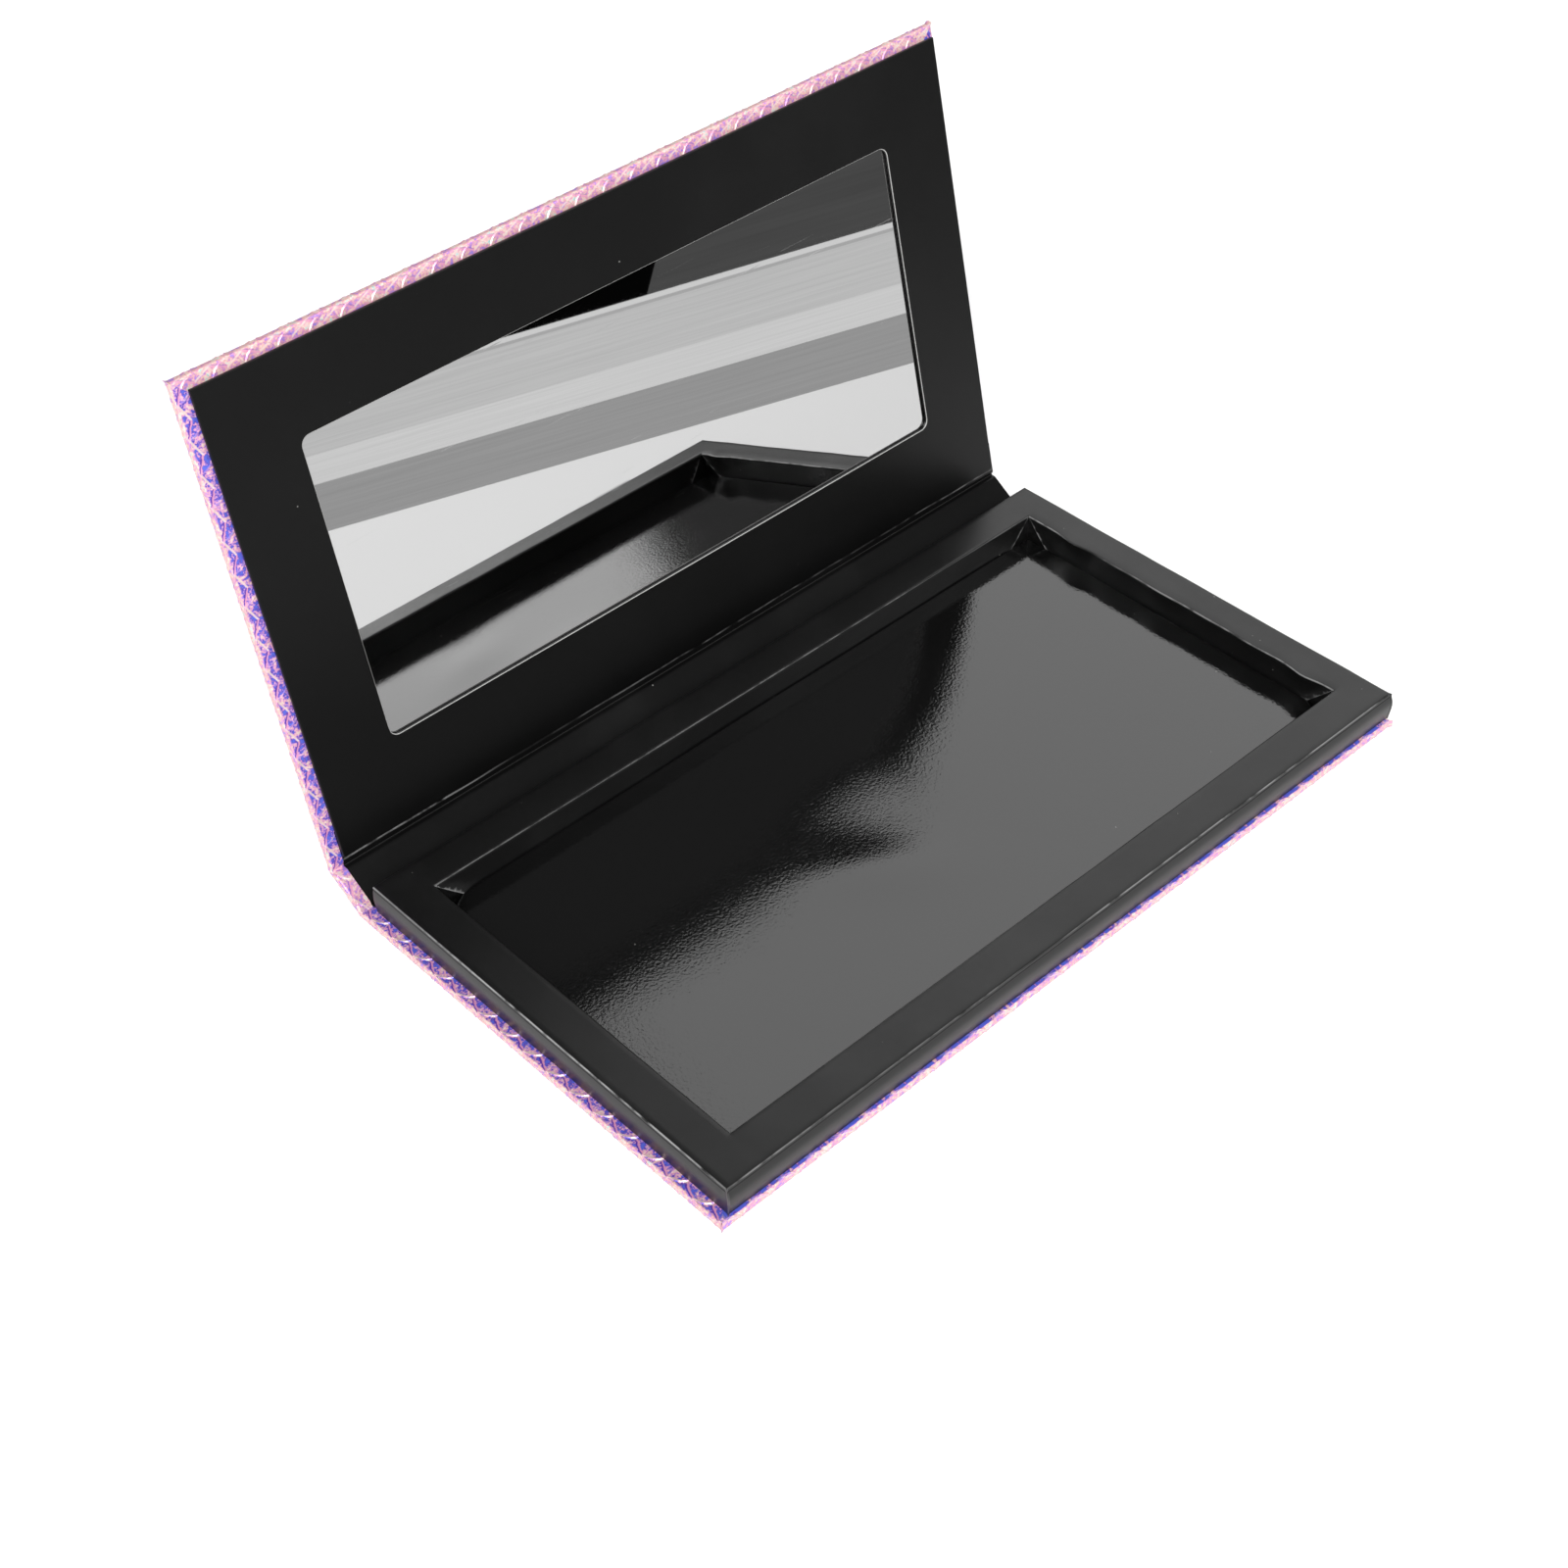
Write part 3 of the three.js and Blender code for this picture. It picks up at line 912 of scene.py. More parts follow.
# How far the film sinks there, as a share of the paper's dip, and the rows that it is cut into
FILM_SINK = 1.4
GROOVE_ROWS = 8

# Hinge paper: what it leaves free at the covers' right edge, its grid, and its unevenness
PAPER_END_GAP = 0.1 * MM
PAPER_COLUMN = 1.5 * MM
PAPER_ROW = 0.25 * MM
PAPER_SINK = 0.05 * MM
WRINKLE_REACH = 1.6 * GROOVE_HALF
GROOVE_WRINKLE = 0.09 * MM
SLOW_WRINKLE = 0.05 * MM
DEEPEST_WRINKLE = 0.09 * MM

# Pale line painted as a highlight, partly worn fibre, on the crease below the lid's card: its place and
# width, and its strength from left to right
CREASE_BELOW_CARD = 0.85 * MM
CREASE_WANDER = 0.2 * MM
CREASE_WIDTH = 0.22 * MM
CREASE_STOPS = (-60 * MM, -10 * MM, 70 * MM, 90 * MM)
CREASE_MARKS = (1.0, 0.64, 0.6, 0.7)


def turned_about(rows, pivot_y, turn, start, end):
    """Points turned about a hinge axis, from nothing at the start to the whole turn at the end."""
    share_of_turn = np.clip((rows[:, 1] - start) / (end - start), 0, 1)
    share_of_turn = share_of_turn * share_of_turn * (3 - 2 * share_of_turn)
    away = rows[:, 1] - pivot_y
    cosine, sine = np.cos(share_of_turn * turn), np.sin(share_of_turn * turn)
    turned = rows.copy()
    turned[:, 1] = pivot_y + away * cosine - rows[:, 2] * sine
    turned[:, 2] = away * sine + rows[:, 2] * cosine
    return turned


def groove_dip(away, depth):
    """How far a sheet sinks at a distance from the middle of a hinge groove."""
    return depth * np.exp(-((away / (DIP_WIDTH * GROOVE_HALF)) ** 2))


class PALETTE_OT_cover_films(bpy.types.Operator):
    """Wrap the base, the spine and the lid in embossed film"""

    bl_idname = "palette.cover_films"
    bl_label = "Cover Films"

    def execute(self, context):
        film = settings("film")
        finish = film_finish(film)
        spine_span = (GROOVE_HALF, SPINE_PITCH - GROOVE_HALF)
        lid_span = (SPINE_PITCH + GROOVE_HALF, SPINE_PITCH + COVER_REACH)
        covers = (
            ("base", (-COVER_REACH, -GROOVE_HALF), -1, BASE_PLACE),
            ("spine", spine_span, 0, SPINE_PLACE),
            ("lid", lid_span, 1, LID_PLACE),
        )
        for body, span, far_side, place in covers:
            skin = wrapped_film(body + "_film", film, span, far_side)
            thicken(skin, film.thickness)
            settle(skin, place)
            smooth(skin, degrees=40)
            dressed(skin, finish, "iridescent_film", body + "_wrap", body=body)
        return {"FINISHED"}


class PALETTE_OT_hinge_films(bpy.types.Operator):
    """Bend a strip of the film across each hinge groove"""

    bl_idname = "palette.hinge_films"
    bl_label = "Hinge Films"

    def execute(self, context):
        film = settings("film")
        dip = settings("paper").dip
        finish = bpy.data.materials["palette_film"]
        for name, (middle, turn, place, bodies) in HINGES.items():
            span = (middle - GROOVE_HALF, middle + GROOVE_HALF)
            strip = wrapped_film(name + "_groove_film", film, span, 0)
            with editing(strip, "FACE"):
                for y in np.linspace(*span, GROOVE_ROWS + 1)[1:-1]:
                    cut(strip, along_axis(1, y), along_axis(1))
            rows = points(strip)
            sunk = groove_dip(rows[:, 1] - middle, FILM_SINK * dip)
            rows[:, 2] -= np.where(rows[:, 2] > 0, sunk * rows[:, 2] / HALF_THICK, 0)
            set_points(strip, turned_about(rows, middle, turn, *span))
            thicken(strip, film.thickness)
            settle(strip, place)
            smooth(strip, degrees=40)
            dressed(strip, finish, "iridescent_film", name + "_groove_wrap")
            blend_across(strip)
        return {"FINISHED"}


def blend_across(strip):
    """Bakes a strip's place into its mesh, and leaves its object at the origin."""
    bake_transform(strip)


class PALETTE_OT_hinge_papers(bpy.types.Operator):
    """Line the hinges with two lengths of black paper that meet on the spine"""

    bl_idname = "palette.hinge_papers"
    bl_label = "Hinge Papers"

    def execute(self, context):
        paper = settings("paper")
        finish = paper_finish("hinge_paper", paper, gloss=0.2)
        half = SPINE_PITCH / 2
        strips = (
            ("rear", (STRIP_START, half), ("base_liner_strip", "rear_groove_liner", "spine_liner")),
            ("lid", (half, LID_STRIP_END), ("lid_groove_liner", "lid_liner_strip")),
        )
        for name, span, nodes in strips:
            middle, turn, place, bodies = HINGES[name]
            strip = self.flat_strip(name + "_hinge_paper", span)
            rows = points(strip)
            rows[:, 2] = PAPER_LEVEL - groove_dip(rows[:, 1] - middle, paper.dip)
            rows[:, 2] += self.wrinkles(rows, middle)
            set_attribute(strip, "crease", self.foot_highlight_and_wear(rows))
            groove = (middle - GROOVE_HALF, middle + GROOVE_HALF)
            set_points(strip, turned_about(rows, middle, turn, *groove))
            thicken(strip, paper.thickness)
            settle(strip, place)
            smooth(strip, degrees=60)
            dressed(strip, finish, "black_paper", *nodes)
            blend_across(strip)
        return {"FINISHED"}

    def flat_strip(self, name, span):
        """A fine flat grid that runs to the covers' right edge."""
        right = HALF_WIDTH - PAPER_END_GAP
        columns = round((right - PAPER_LEFT) / PAPER_COLUMN)
        rows = round((span[1] - span[0]) / PAPER_ROW)
        return flat_piece(name, (PAPER_LEFT, span[0]), (right, span[1]), 0, columns, rows)

    def foot_highlight_and_wear(self, rows):
        """A pale, uneven line along the crease at the foot of the lid's card, strongest on the left: a
        painted highlight, partly worn fibre.
        """
        wander = np.array([noise.noise(Vector((x * 90, 0, 7))) for x in rows[:, 0]])
        away = rows[:, 1] - card_low.y + CREASE_BELOW_CARD - CREASE_WANDER * wander
        fade = np.interp(rows[:, 0], CREASE_STOPS, CREASE_MARKS)
        return fade * np.exp(-((away / CREASE_WIDTH) ** 2))

    def wrinkles(self, rows, middle):
        """Small creases in and beside the groove, and a faint unevenness elsewhere."""
        heights = []
        for x, y, _ in rows:
            near = math.exp(-(((y - middle) / WRINKLE_REACH) ** 2))
            quick = GROOVE_WRINKLE * near * noise.noise(Vector((x * 160, y * 420, 3.0)))
            slow = SLOW_WRINKLE * noise.noise(Vector((x * 40, y * 130, 9.0)))
            heights.append(quick + slow - PAPER_SINK)
        return np.maximum(heights, -DEEPEST_WRINKLE)


# Tray

# Rows that the flat paper is cut into, those of the walls counted from their folds
ROW = 2.5 * MM
CORNER_ROW = 1.2 * MM
WALL_ROWS = (0.35 * MM, 0.8 * MM, 1.6 * MM, 2.6 * MM, 3.8 * MM, 5.0 * MM)

# How far the outer walls stand out at these depths below the tray's top
WALL_REACH = 1.5 * MM
WALL_DEPTHS = (0, 0.8 * MM, 2.0 * MM, 3.5 * MM, 7.0 * MM)
FRONT_FORM = (0, -0.05 * MM, 0.4 * MM, 0.5 * MM, -0.05 * MM)
LEFT_FORM = (0, -0.05 * MM, 0.15 * MM, 0.25 * MM, 0)
OTHER_FORM = (0, 0, 0.05 * MM, 0.15 * MM, 0)

# Puckers of the right inner edge: share of the way from the rear, width, and relative height
PUCKERS = (
    (0.16, 3.4 * MM, 1.5), (0.3, 5 * MM, 0.5), (0.45, 6 * MM, 0.7),
    (0.6, 6 * MM, 0.4), (0.75, 6 * MM, 0.8), (0.91, 3.6 * MM, 1.7),
)
PUCKER_REACH = 1.1 * MM
PUCKER_LIFT = 0.25

# Unevenness of the whole skin
CLOUD_SIZE = 14 * MM
CLOUD_HEIGHT = 0.22 * MM

# Slits between the inner flaps, their length as a share of a wall's, and the flaps' curl beside them
SLIT_LENGTH = 1.5
SLIT_MARGIN = 2 * MM
SLIT_END = 12 * MM
FLAP_REACH = 0.6 * MM
CURL_REACH = 1.5 * MM
CURL_DEPTH = 4 * MM

# Outer corners: side, far side, and how far the paper is drawn out
CORNER_TIPS = ((-1, -1, 0.7 * MM), (1, -1, 0.35 * MM), (-1, 1, 0.1 * MM), (1, 1, 0.1 * MM))

# Strips behind the slits
PATCH_REACH = 9 * MM
PATCH_GAP = 0.01 * MM

# Folds: axis, corner, side, strength of the pale line painted along it as a highlight, and whether a
# dull groove runs beside it
FOLD_HIGHLIGHTS = (
    (0, tray_low, -1, 0.8, 1), (0, tray_high, 1, 0.3, 0), (1, tray_low, -1, 0.6, 1),
    (1, tray_high, 1, 0.2, 0), (0, recess_low, 1, 0.2, 0), (0, recess_high, -1, 0.75, 0),
    (1, recess_low, 1, 0.2, 0), (1, recess_high, -1, 0.45, 0),
)
SHARP_MARK = 0.8


def even_cuts(low, high):
    """Places of evenly spaced cuts between two limits, with one more close to each."""
    count = math.ceil((high - low) / ROW)
    inner = [low + (high - low) * step / count for step in range(1, count)]
    return inner + [low + CORNER_ROW, high - CORNER_ROW]


class PALETTE_OT_tray_skin(bpy.types.Operator):
    """Cut, slit and fold the tray's black paper, with patches in the inner corners"""

    bl_idname = "palette.tray_skin"
    bl_label = "Tray Skin"

    def execute(self, context):
        paper = settings("paper")
        finish = paper_finish("paper", paper, gloss=0.4)
        skin = self.flat_sheet(paper)
        self.mark_fold_highlights_and_slits(skin, paper)
        self.fold_walls(skin, paper)
        self.close_corners(skin, paper)
        self.pucker(skin, paper)
        shells = 2 * len(skin.data.polygons)
        thicken(skin, paper.thickness)
        smooth(skin, degrees=50)
        dressed(skin, finish, "black_paper", "tray_wrap", body="base")
        skin.data.materials.append(core_finish("paper_core", paper.crease))
        cut_edges = [
            polygon.index >= shells and self.in_recess(polygon.center) for polygon in skin.data.polygons
        ]
        skin.data.polygons.foreach_set("material_index", np.array(cut_edges, np.int32))
        dressed(self.corner_patches(paper), finish, "black_paper", body="base")
        return {"FINISHED"}

    def flat_sheet(self, paper):
        """The paper before folding, level with the tray's top: a cross with a slit opening."""
        fall = paper.fold * (math.pi / 2 - 2) + tray_high.z - tray_low.z
        out = Vector((fall, fall, 0))
        self.inner_low, self.inner_high = recess_low + out, recess_high - out
        skin = flat_piece("tray_skin", tray_low - out, tray_high + out, tray_high.z)
        with editing(skin, "FACE"):
            for axis in (0, 1):
                for place in self.cut_places(axis, paper):
                    cut(skin, along_axis(axis, place), along_axis(axis))
            remove_faces(skin, lambda face: self.in_corner_square(face, paper))
            remove_faces(skin, self.in_opening)
            for corner, normal in self.slits(paper):
                cut(skin, corner, normal, lambda face: self.near_slit(face, corner, fall))
                bpy.ops.mesh.select_mode(type="EDGE")
                pick(skin, "edges", lambda edge: self.along_slit(edge, corner, normal, fall))
                bpy.ops.mesh.edge_split(type="EDGE")
                bpy.ops.mesh.select_mode(type="FACE")
        return skin

    def cut_places(self, axis, paper):
        """Fold lines of the outer and inner walls, and even rows between them."""
        places = even_cuts(tray_low[axis] + paper.fold, tray_high[axis] - paper.fold)
        edges = (tray_low[axis], recess_high[axis], tray_high[axis], recess_low[axis])
        for edge, side in zip(edges, (-1, -1, 1, 1)):
            lines = wrap_lines(side * edge, paper.fold, 0, 1)
            places += [side * place for place, _ in lines]
            places += [side * (lines[-1][0] + row) for row in WALL_ROWS]
        return sorted(places + [self.inner_low[axis], self.inner_high[axis]])

    def in_corner_square(self, face, paper):
        middle = face.calc_center_median()
        return all(
            middle[axis] < tray_low[axis] + paper.fold or middle[axis] > tray_high[axis] - paper.fold
            for axis in (0, 1)
        )

    def in_recess(self, place):
        """Whether one place, or each of many, lies over the recess or within a millimetre of it."""
        x, y = place[0], place[1]
        beside = (x > recess_low.x - MM) & (x < recess_high.x + MM)
        return beside & (y > recess_low.y - MM) & (y < recess_high.y + MM)

    def in_opening(self, face):
        middle = face.calc_center_median()
        return all(self.inner_low[axis] < middle[axis] < self.inner_high[axis] for axis in (0, 1))

    def slits(self, paper):
        """Start and cutting plane of the four diagonal slits, one at each corner of the opening."""
        for x, side in ((recess_low.x, -1), (recess_high.x, 1)):
            for y, far_side in ((recess_low.y, -1), (recess_high.y, 1)):
                corner = Vector((x + side * paper.fold, y + far_side * paper.fold, tray_high.z))
                yield corner, Vector((side, -far_side, 0)).normalized()

    def near_slit(self, face, corner, fall):
        middle = face.calc_center_median()
        near = all(abs(middle[axis] - corner[axis]) < fall + SLIT_MARGIN for axis in (0, 1))
        return near and self.in_recess(middle)

    def along_slit(self, edge, corner, normal, fall):
        inwards = recess_middle - corner
        for vert in edge.verts:
            away = vert.co - corner
            if abs(away.dot(normal)) > NEAR or away.length > SLIT_LENGTH * fall + SLIT_MARGIN:
                return False
            if min(away.x * inwards.x, away.y * inwards.y) < -TOLERANCE:
                return False
        return True

    def mark_fold_highlights_and_slits(self, skin, paper):
        """Marks how strongly each fold shows a pale line, a painted highlight that is partly worn fibre.
        """
        rows = points(skin)
        marks = np.zeros(len(rows))
        arc = paper.fold * math.pi / 2
        for axis, corner, side, strength, sunken in FOLD_HIGHLIGHTS:
            reach = (side * (rows[:, axis] - corner[axis]) + paper.fold) / arc
            mark = strength * np.clip(1.5 - 3 * np.abs(reach - 0.5), 0, 1)
            groove = 1 - np.abs((reach - 1) * arc - WALL_ROWS[0]) / WALL_ROWS[0]
            mark -= sunken * np.clip(groove, 0, 1)
            if corner in (recess_low, recess_high):
                along = rows[:, 1 - axis]
                mark[(along < recess_low[1 - axis]) | (along > recess_high[1 - axis])] = 0
            marks = np.where(np.abs(mark) > np.abs(marks), mark, marks)
        for corner, normal in self.slits(paper):
            away = rows - np.array(corner)
            on_slit = (np.abs(away @ np.array(normal)) < NEAR) & self.in_recess(rows.T)
            reach = np.hypot(away[:, 0], away[:, 1])
            marks[on_slit & (reach > 2 * paper.fold) & (reach < SLIT_END)] = SHARP_MARK
        set_attribute(skin, "crease", marks)

    def fold_walls(self, skin, paper):
        """Folds the four outer walls and the four inner flaps down."""
        half = (recess_high - recess_low) / 2
        for axis in (0, 1):
            other = 1 - axis
            for side, outer, inner in ((-1, tray_low, recess_low), (1, tray_high, recess_high)):
                lines = wrap_lines(side * outer[axis], paper.fold, 0, 1)
                fold(skin, axis, side, lines, tray_high.z, -1, lambda home: True)
                lines = wrap_lines(-side * inner[axis], paper.fold, 0, 1)

                def on_flap(home):
                    reach = side * (home[axis] - recess_middle[axis])
                    across = abs(home[other] - recess_middle[other]) - half[other]
                    return reach > 0 and reach - half[axis] > across and across < paper.fold

                fold(skin, axis, -side, lines, tray_high.z, -1, on_flap)

    def close_corners(self, skin, paper):
        """Spins the ends of the side walls round the corners, to meet the front and rear walls."""
        for side, far_side, tip in CORNER_TIPS:
            x = (tray_low.x if side < 0 else tray_high.x) - side * paper.fold
            y = (tray_low.y if far_side < 0 else tray_high.y) - far_side * paper.fold
            spin_corner(skin, side, far_side, x, y)
            pinch(skin, side, far_side, x, y, tip)
        rows = points(skin)
        marks = np.empty(len(rows), np.float32)
        skin.data.attributes["crease"].data.foreach_get("value", marks)
        at_corner = (rows[:, 0] < tray_low.x) & (rows[:, 1] < tray_low.y)
        set_attribute(skin, "crease", np.where(at_corner, SHARP_MARK, marks))

    def pucker(self, skin, paper):
        """Makes the paper a little uneven, and lifts it along the right inner edge."""
        cloud = bpy.data.textures.new("paper_cloud", "CLOUDS")
        cloud.noise_scale = CLOUD_SIZE
        apply_modifier(
            skin, "DISPLACE", texture=cloud, texture_coords="LOCAL", mid_level=0.5, strength=CLOUD_HEIGHT
        )
        rows = points(skin)
        self.shape_walls(rows)
        self.curl_flaps(rows, paper)
        depth = recess_high.y - recess_low.y
        for share_of_depth, width, height in PUCKERS:
            away = (rows[:, 1] - (recess_high.y - share_of_depth * depth)) / width
            near = np.exp(-((rows[:, 0] - recess_high.x) / PUCKER_REACH) ** 2 - away ** 2)
            near *= np.clip((rows[:, 2] - tray_low.z) / (tray_high.z - tray_low.z), 0, 1) ** 2
            rows[:, 0] -= paper.pucker * height * near
            rows[:, 2] += PUCKER_LIFT * paper.pucker * height * near
        set_points(skin, rows)

    def shape_walls(self, rows):
        """Draws the outer walls in under their top folds, and rolls them out below."""
        depth = tray_high.z - rows[:, 2]
        for axis, corner, side, form in (
            (0, tray_low, -1, LEFT_FORM), (0, tray_high, 1, OTHER_FORM),
            (1, tray_low, -1, FRONT_FORM), (1, tray_high, 1, OTHER_FORM),
        ):
            near = np.clip(1 - np.abs(rows[:, axis] - corner[axis]) / WALL_REACH, 0, 1)
            rows[:, axis] += side * near * np.interp(depth, WALL_DEPTHS, form)

    def curl_flaps(self, rows, paper):
        """Lifts the slit ends of the inner flaps off the rails."""
        depth = np.clip(tray_high.z - rows[:, 2], 0, None)
        for axis, corner, side in (
            (0, recess_low, 1), (0, recess_high, -1), (1, recess_low, 1), (1, recess_high, -1),
        ):
            other = 1 - axis
            on_flap = np.abs(rows[:, axis] - corner[axis]) < FLAP_REACH
            for limit, inwards in ((recess_low[other], 1), (recess_high[other], -1)):
                end = (rows[:, other] - limit) * inwards - depth
                near = np.exp(-((end / CURL_REACH) ** 2)) * np.clip(depth / CURL_DEPTH, 0, 1)
                rows[:, axis] += side * paper.curl * near * on_flap

    def corner_patches(self, paper):
        """Strips of paper behind the slits, each bent round one inner corner of the tray."""
        patches = []
        height = tray_high.z - tray_low.z - paper.fold
        back = paper.thickness + PATCH_GAP
        for x, side in ((recess_low.x, -1), (recess_high.x, 1)):
            for y, far_side in ((recess_low.y, -1), (recess_high.y, 1)):
                corner = Vector((x + side * back, y + far_side * back, tray_low.z))
                half = Vector((-side * PATCH_REACH, -far_side * PATCH_REACH, height)) / 2
                patch = new_piece(
                    "patch", bpy.ops.mesh.primitive_cube_add, size=1,
                    location=corner + half, scale=(PATCH_REACH, PATCH_REACH, height),
                )
                settle(patch, Matrix())
                with editing(patch, "FACE"):
                    remove_faces(patch, lambda face: face.normal.dot((side, far_side, 0)) < 0.5)
                    bpy.ops.mesh.select_all(action="SELECT")
                    bpy.ops.mesh.flip_normals()
                patches.append(patch)
        strips = joined("tray_corner_patches", patches)
        thicken(strips, TRAY_SKIN - back - PATCH_GAP)
        return strips


# Magnetic sheet

SHEET_STEP = 2.2 * MM

# Waves: number to the metre, seed, and share of the set height, round a level that is a share of it too
WAVES = ((22, 1.0, 0.5), (70, 5.0, 0.09))
WAVE_LEVEL = 0.36

# Hills that lie across the view: place, height, and reach along and across
HILL_TURN = math.radians(-40.7)
HILLS = (
    (2 * MM, 24 * MM, 0.75 * MM, 20 * MM, 20 * MM),
    (-14 * MM, -10.5 * MM, 0.45 * MM, 15 * MM, 8.5 * MM),
)


class PALETTE_OT_magnetic_sheet(bpy.types.Operator):
    """Lay the wavy gloss film of the magnetic sheet in the recess"""

    bl_idname = "palette.magnetic_sheet"
    bl_label = "Magnetic Sheet"

    def execute(self, context):
        sheet = settings("sheet")
        low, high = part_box("magnet_film")
        steps = [round(extent / SHEET_STEP) for extent in (high - low).xy]
        film = flat_piece("gloss_sheet", low, high, high.z, *steps)
        rows = points(film)
        rows[:, 2] += [self.wave(x, y, sheet.wave) for x, y, _ in rows]
        set_points(film, rows)
        thicken(film, sheet.thickness)
        smooth(film, degrees=40)
        dressed(film, gloss_finish(sheet, settings("paper")), "gloss_film", "magnet_film", body="base")
        return {"FINISHED"}

    def wave(self, x, y, height):
        """Slow waves, with two low hills that lie across the view."""
        level = height * WAVE_LEVEL
        for pitch, seed, part in WAVES:
            level += height * part * noise.noise(Vector((x * pitch, y * pitch, seed)))
        for hill_x, hill_y, hill_height, along, across in HILLS:
            away = Matrix.Rotation(-HILL_TURN, 2) @ Vector((x - hill_x, y - hill_y))
            level += hill_height * math.exp(-((away.x / along) ** 2) - (away.y / across) ** 2)
        return level


# Lid

CARD_CORNER_STEPS = 8

# Slope of the faces that show the card's core, as the height of their normal
CORE_SLOPE = (0.3, 0.97)


class PALETTE_OT_lid_card(bpy.types.Operator):
    """Cut the lid's black card, with a round-cornered window for the mirror"""

    bl_idname = "palette.lid_card"
    bl_label = "Lid Card"

    def execute(self, context):
        card = settings("card")
        window_low = card_low + Vector((card.border, card.foot, 0))
        window_high = card_high - Vector((card.border, card.border, 0))
        outer = flat_piece("card_outline", card_low, card_high, card_high.z)
        window = flat_piece("card_window", window_low, window_high, window_high.z)
        with editing(window):
            bpy.ops.mesh.select_all(action="SELECT")
            bpy.ops.mesh.bevel(offset=card.corner, segments=CARD_CORNER_STEPS, affect="VERTICES")
        face = joined("card", [outer, window])
        with editing(face, "FACE"):
            bpy.ops.mesh.select_all(action="SELECT")
            bpy.ops.mesh.delete(type="ONLY_FACE")
            bpy.ops.mesh.select_mode(type="EDGE")
            bpy.ops.mesh.select_all(action="SELECT")
            bpy.ops.mesh.bridge_edge_loops()
            bpy.ops.mesh.select_all(action="SELECT")
            bpy.ops.mesh.normals_make_consistent(inside=False)
            if bmesh.from_edit_mesh(face.data).faces[0].normal.z < 0:
                bpy.ops.mesh.flip_normals()
        thicken(face, card_high.z - card_low.z)
        apply_modifier(face, "BEVEL", width=card.edge, segments=2, limit_method="ANGLE")
        cut_faces = [
            CORE_SLOPE[0] < polygon.normal.z < CORE_SLOPE[1]
            and self.at_window(polygon.center, window_low, window_high)
            for polygon in face.data.polygons
        ]
        settle(face, LID_PLACE)
        smooth(face, degrees=15)
        dressed(face, card_finish(card, settings("paper")), "black_card", "lid_card", body="lid")
        face.data.materials.append(core_finish("card_core", card.core))
        face.data.polygons.foreach_set("material_index", np.array(cut_faces, np.int32))
        return {"FINISHED"}

    def at_window(self, place, low, high):
        """Whether a place lies in the window or within a millimetre of it."""
        return all(low[axis] - MM < place[axis] < high[axis] + MM for axis in (0, 1))


class PALETTE_OT_stock(bpy.types.Operator):
    """Finish the mirror, boards, rails, magnets, adhesive and ferrite sheet that keep their CAD form"""

    bl_idname = "palette.stock"
    bl_label = "Mirror and Inner Stock"

    def execute(self, context):
        stock = settings("stock")
        board = stock_finish("greyboard", stock.board, roughness=0.85, metallic=0.0, grain=900)
        adhesive = stock_finish("adhesive", stock.adhesive, roughness=0.5, metallic=0.0, grain=300)
        nickel = stock_finish("nickel", stock.nickel, roughness=0.3, metallic=1.0, grain=500)
        ferrite = stock_finish("ferrite", stock.ferrite, roughness=0.7, metallic=0.0, grain=1500)
        finishes = {
            "mirror": mirror_finish(stock),
            "magnet_sheet": ferrite,
            "magnet_adhesive": adhesive,
            "mirror_tape": adhesive,
        }
        for side in ("left", "right"):
            finishes["tray_magnet_" + side] = nickel
            finishes["lid_magnet_" + side] = nickel
        for name in ("base_board", "spine_board", "lid_board"):
            finishes[name] = board
        for name in ("front", "rear", "left", "right"):
            finishes["tray_rail_" + name] = board
        for name, finish in finishes.items():
            mesh = frame["nodes"][name].data
            mesh.materials.clear()
            mesh.materials.append(finish)
        return {"FINISHED"}


# Stage

CAMERA_PLACE = Vector((-0.264749, -0.272875, 0.360143))
CAMERA_SENSOR = 36
CAMERA_NEAR = 0.01

# Floor: how much it glows beside the object, and the distances over which it fades to white
FLOOR_SIZE = 12
FLOOR_LEVEL = -0.2 * MM
FLOOR_LIFT = 0.14
FLOOR_FADE = (0.4, 1.5)

# Strips of floor: name, turn in degrees, near, far, left and right limits in millimetres, and glow
BAND_TONES = ((0.72,) * 3, (1.28,) * 3)
BANDS = (
    ("band_grey", 41, 151, 205.5, -400, 700, 0.48),
    ("band_light", 41, 205.5, 242, -400, 700, 0.95),
    ("band_far", 41, 242, 314, -400, 700, 0.8),
    ("band_rim", 41, 314, 319, -400, 700, 0.62),
    ("band_line", 41, 319, 327, -400, 700, 0.98),
    ("band_dark", 41, 327, 900, -600, 2, 0.002),
    ("band_dim", 41, 327, 900, 2, 900, 0.1),
    ("band_left", -90, 97, 112, -60, 60, 1.15),
)

# Soft lights: name, place, diameter and power
LIGHTS = (
    ("soft_key", (-1.6, -1.8, 2.2), 2.0, 140.0),
    ("soft_rear", (0.892, 0.58, 0.925), 1.1, 4.2),
    ("soft_right", (0.95, -1.1, 0.95), 0.6, 3.0),
    ("soft_front", (0.45, -1.41, 0.58), 0.78, 3.5),
    ("soft_left", (-1.1, 0.9, 0.7), 0.6, 3.0),
)


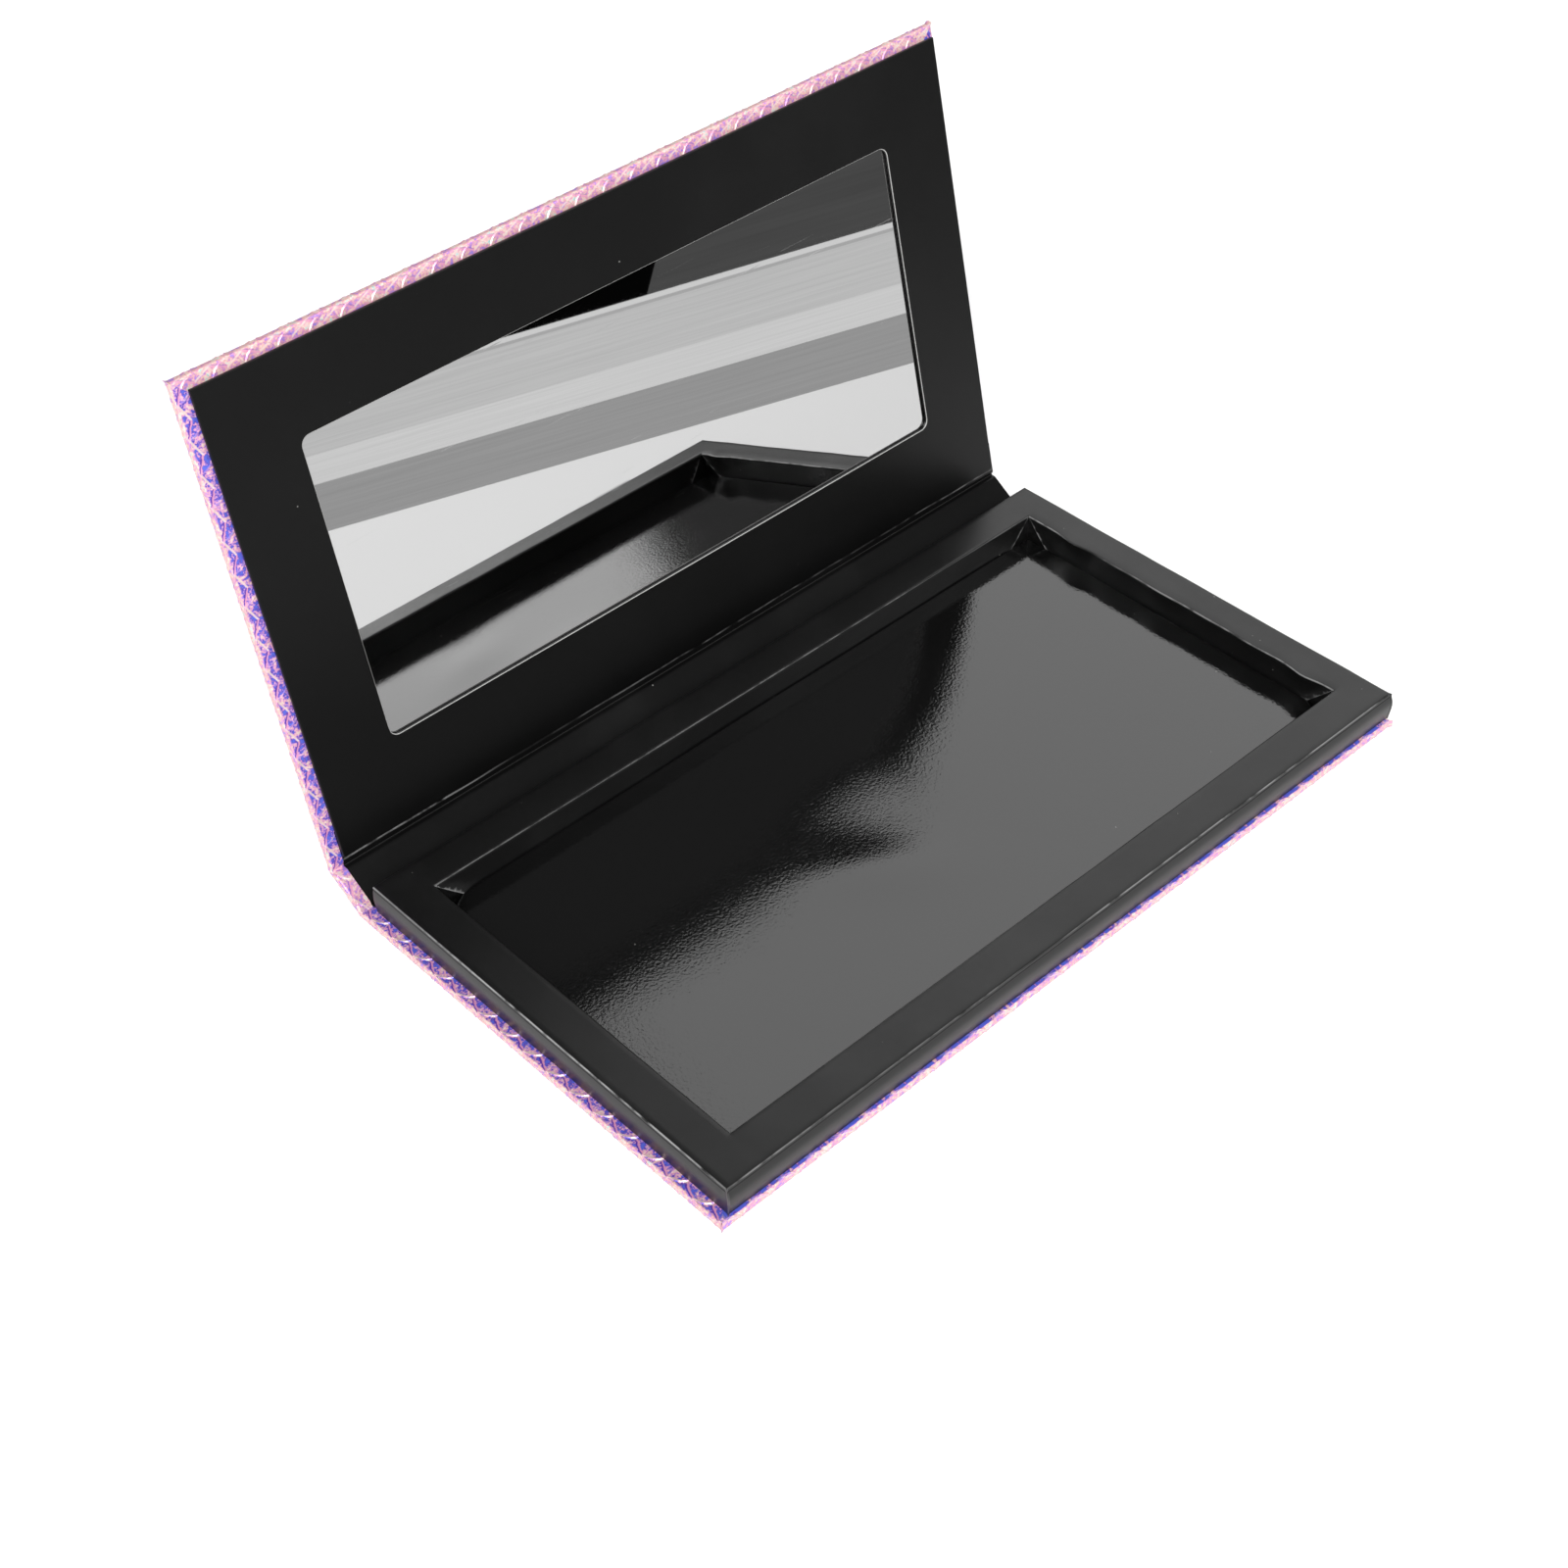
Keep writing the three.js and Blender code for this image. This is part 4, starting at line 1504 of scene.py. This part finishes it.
class PALETTE_OT_stage(bpy.types.Operator):
    """Set up the floor, the soft light, what the mirror shows of the studio, and the camera"""

    bl_idname = "palette.stage"
    bl_label = "Stage"

    def execute(self, context):
        stage = settings("stage")
        self.set_world(stage)
        self.set_floor(stage)
        for band in BANDS:
            self.add_band(*band)
        for light in LIGHTS:
            self.add_light(*light)
        self.add_camera(stage)
        context.scene.view_settings.view_transform = "Standard"
        return {"FINISHED"}

    def set_world(self, stage):
        """Even light from all round, and white where the camera looks past the floor."""
        world = bpy.data.worlds.new("studio")
        bpy.context.scene.world = world
        world.use_nodes = True
        nodes, links = world.node_tree.nodes, world.node_tree.links
        background = nodes["Background"]
        background.inputs["Color"].default_value = (1, 1, 1, 1)
        path = nodes.new("ShaderNodeLightPath")
        level = nodes.new("ShaderNodeMix")
        links.new(path.outputs["Is Camera Ray"], level.inputs["Factor"])
        level.inputs["A"].default_value = stage.sky
        level.inputs["B"].default_value = 1.0
        links.new(level.outputs["Result"], background.inputs["Strength"])

    def set_floor(self, stage):
        floor = new_piece(
            "floor", bpy.ops.mesh.primitive_plane_add, size=FLOOR_SIZE, location=(0, 0, FLOOR_LEVEL)
        )
        finish = Finish(
            "floor_white", Roughness=0.9, Specular_IOR_Level=0.0, Base_Color=tuple(stage.floor)
        )
        seen = finish.add("ShaderNodeLightPath", output="Is Camera Ray")
        sockets = {0: finish.place()}
        away = finish.add("ShaderNodeVectorMath", {"operation": "LENGTH"}, sockets, output="Value")
        lift = finish.mix(finish.step(away, *FLOOR_FADE), (FLOOR_LIFT,) * 3, (1, 1, 1))
        finish.feed("Emission Color", finish.mix(seen, (0, 0, 0), lift))
        finish.feed("Emission Strength", 1.0)
        floor.data.materials.append(finish.material)

    def add_band(self, name, degrees, near, far, left, right, glow):
        """A strip of floor that only reflections see."""
        turn = math.radians(degrees)
        outwards = Vector((math.sin(turn), -math.cos(turn), 0))
        along = Vector((math.cos(turn), math.sin(turn), 0))
        middle = outwards * (near + far) / 2 * MM + along * (left + right) / 2 * MM
        middle.z = FLOOR_LEVEL / 2
        band = new_piece(
            name, bpy.ops.mesh.primitive_plane_add, size=1, location=middle, rotation=(0, 0, turn)
        )
        band.dimensions = ((right - left) * MM, (far - near) * MM, 0)
        finish = Finish(name, Base_Color=(0, 0, 0), Specular_IOR_Level=0.0, Emission_Strength=glow)
        place = finish.place()
        streak = finish.noise(finish.stretched(place, (3, 90, 1)), 1.0, 3) + finish.noise(place, 16, 3)
        finish.feed("Emission Color", finish.mix(streak * 0.5, *BAND_TONES))
        band.data.materials.append(finish.material)
        band.visible_camera = False
        band.visible_diffuse = False
        band.visible_shadow = False

    def add_light(self, name, place, size, power):
        bpy.ops.object.light_add(type="AREA", location=place)
        light = bpy.context.object
        light.name = name
        light.data.shape = "DISK"
        light.data.size = size
        light.data.energy = power
        light.rotation_euler = (-Vector(place)).to_track_quat("-Z", "Y").to_euler()

    def add_camera(self, stage):
        bpy.ops.object.camera_add(location=CAMERA_PLACE)
        camera = bpy.context.object
        turn = Matrix.Rotation(stage.azimuth, 3, "Z")
        turn = turn @ Matrix.Rotation(math.pi / 2 - stage.elevation, 3, "X")
        camera.rotation_euler = (turn @ Matrix.Rotation(stage.roll, 3, "Z")).to_euler()
        camera.data.sensor_width = CAMERA_SENSOR
        camera.data.lens = stage.lens
        camera.data.clip_start = CAMERA_NEAR
        bpy.context.scene.camera = camera


# Panel and registration

class PALETTE_PT_panel(bpy.types.Panel):
    """The steps that build the palette, in order"""

    bl_label = "Makeup Palette"
    bl_idname = "PALETTE_PT_panel"
    bl_space_type = "VIEW_3D"
    bl_region_type = "UI"
    bl_category = "Palette"

    def draw(self, context):
        for step in STEPS:
            self.layout.operator(step.bl_idname)


GROUPS = {
    "film": FilmSettings,
    "paper": PaperSettings,
    "card": CardSettings,
    "sheet": SheetSettings,
    "stock": StockSettings,
    "stage": StageSettings,
}
STEPS = (
    PALETTE_OT_cover_films,
    PALETTE_OT_hinge_films,
    PALETTE_OT_hinge_papers,
    PALETTE_OT_tray_skin,
    PALETTE_OT_magnetic_sheet,
    PALETTE_OT_lid_card,
    PALETTE_OT_stock,
    PALETTE_OT_stage,
)


def register():
    for name, group in GROUPS.items():
        bpy.utils.register_class(group)
        setattr(bpy.types.Scene, "palette_" + name, bpy.props.PointerProperty(type=group))
    for step in (*STEPS, PALETTE_PT_panel):
        bpy.utils.register_class(step)


def unregister():
    for step in reversed((*STEPS, PALETTE_PT_panel)):
        bpy.utils.unregister_class(step)
    for name, group in GROUPS.items():
        delattr(bpy.types.Scene, "palette_" + name)
        bpy.utils.unregister_class(group)


def main():
    """Builds everything in order."""
    register()
    for step in STEPS:
        family, name = step.bl_idname.split(".")
        getattr(getattr(bpy.ops, family), name)()


if __name__ == "__main__":
    main()
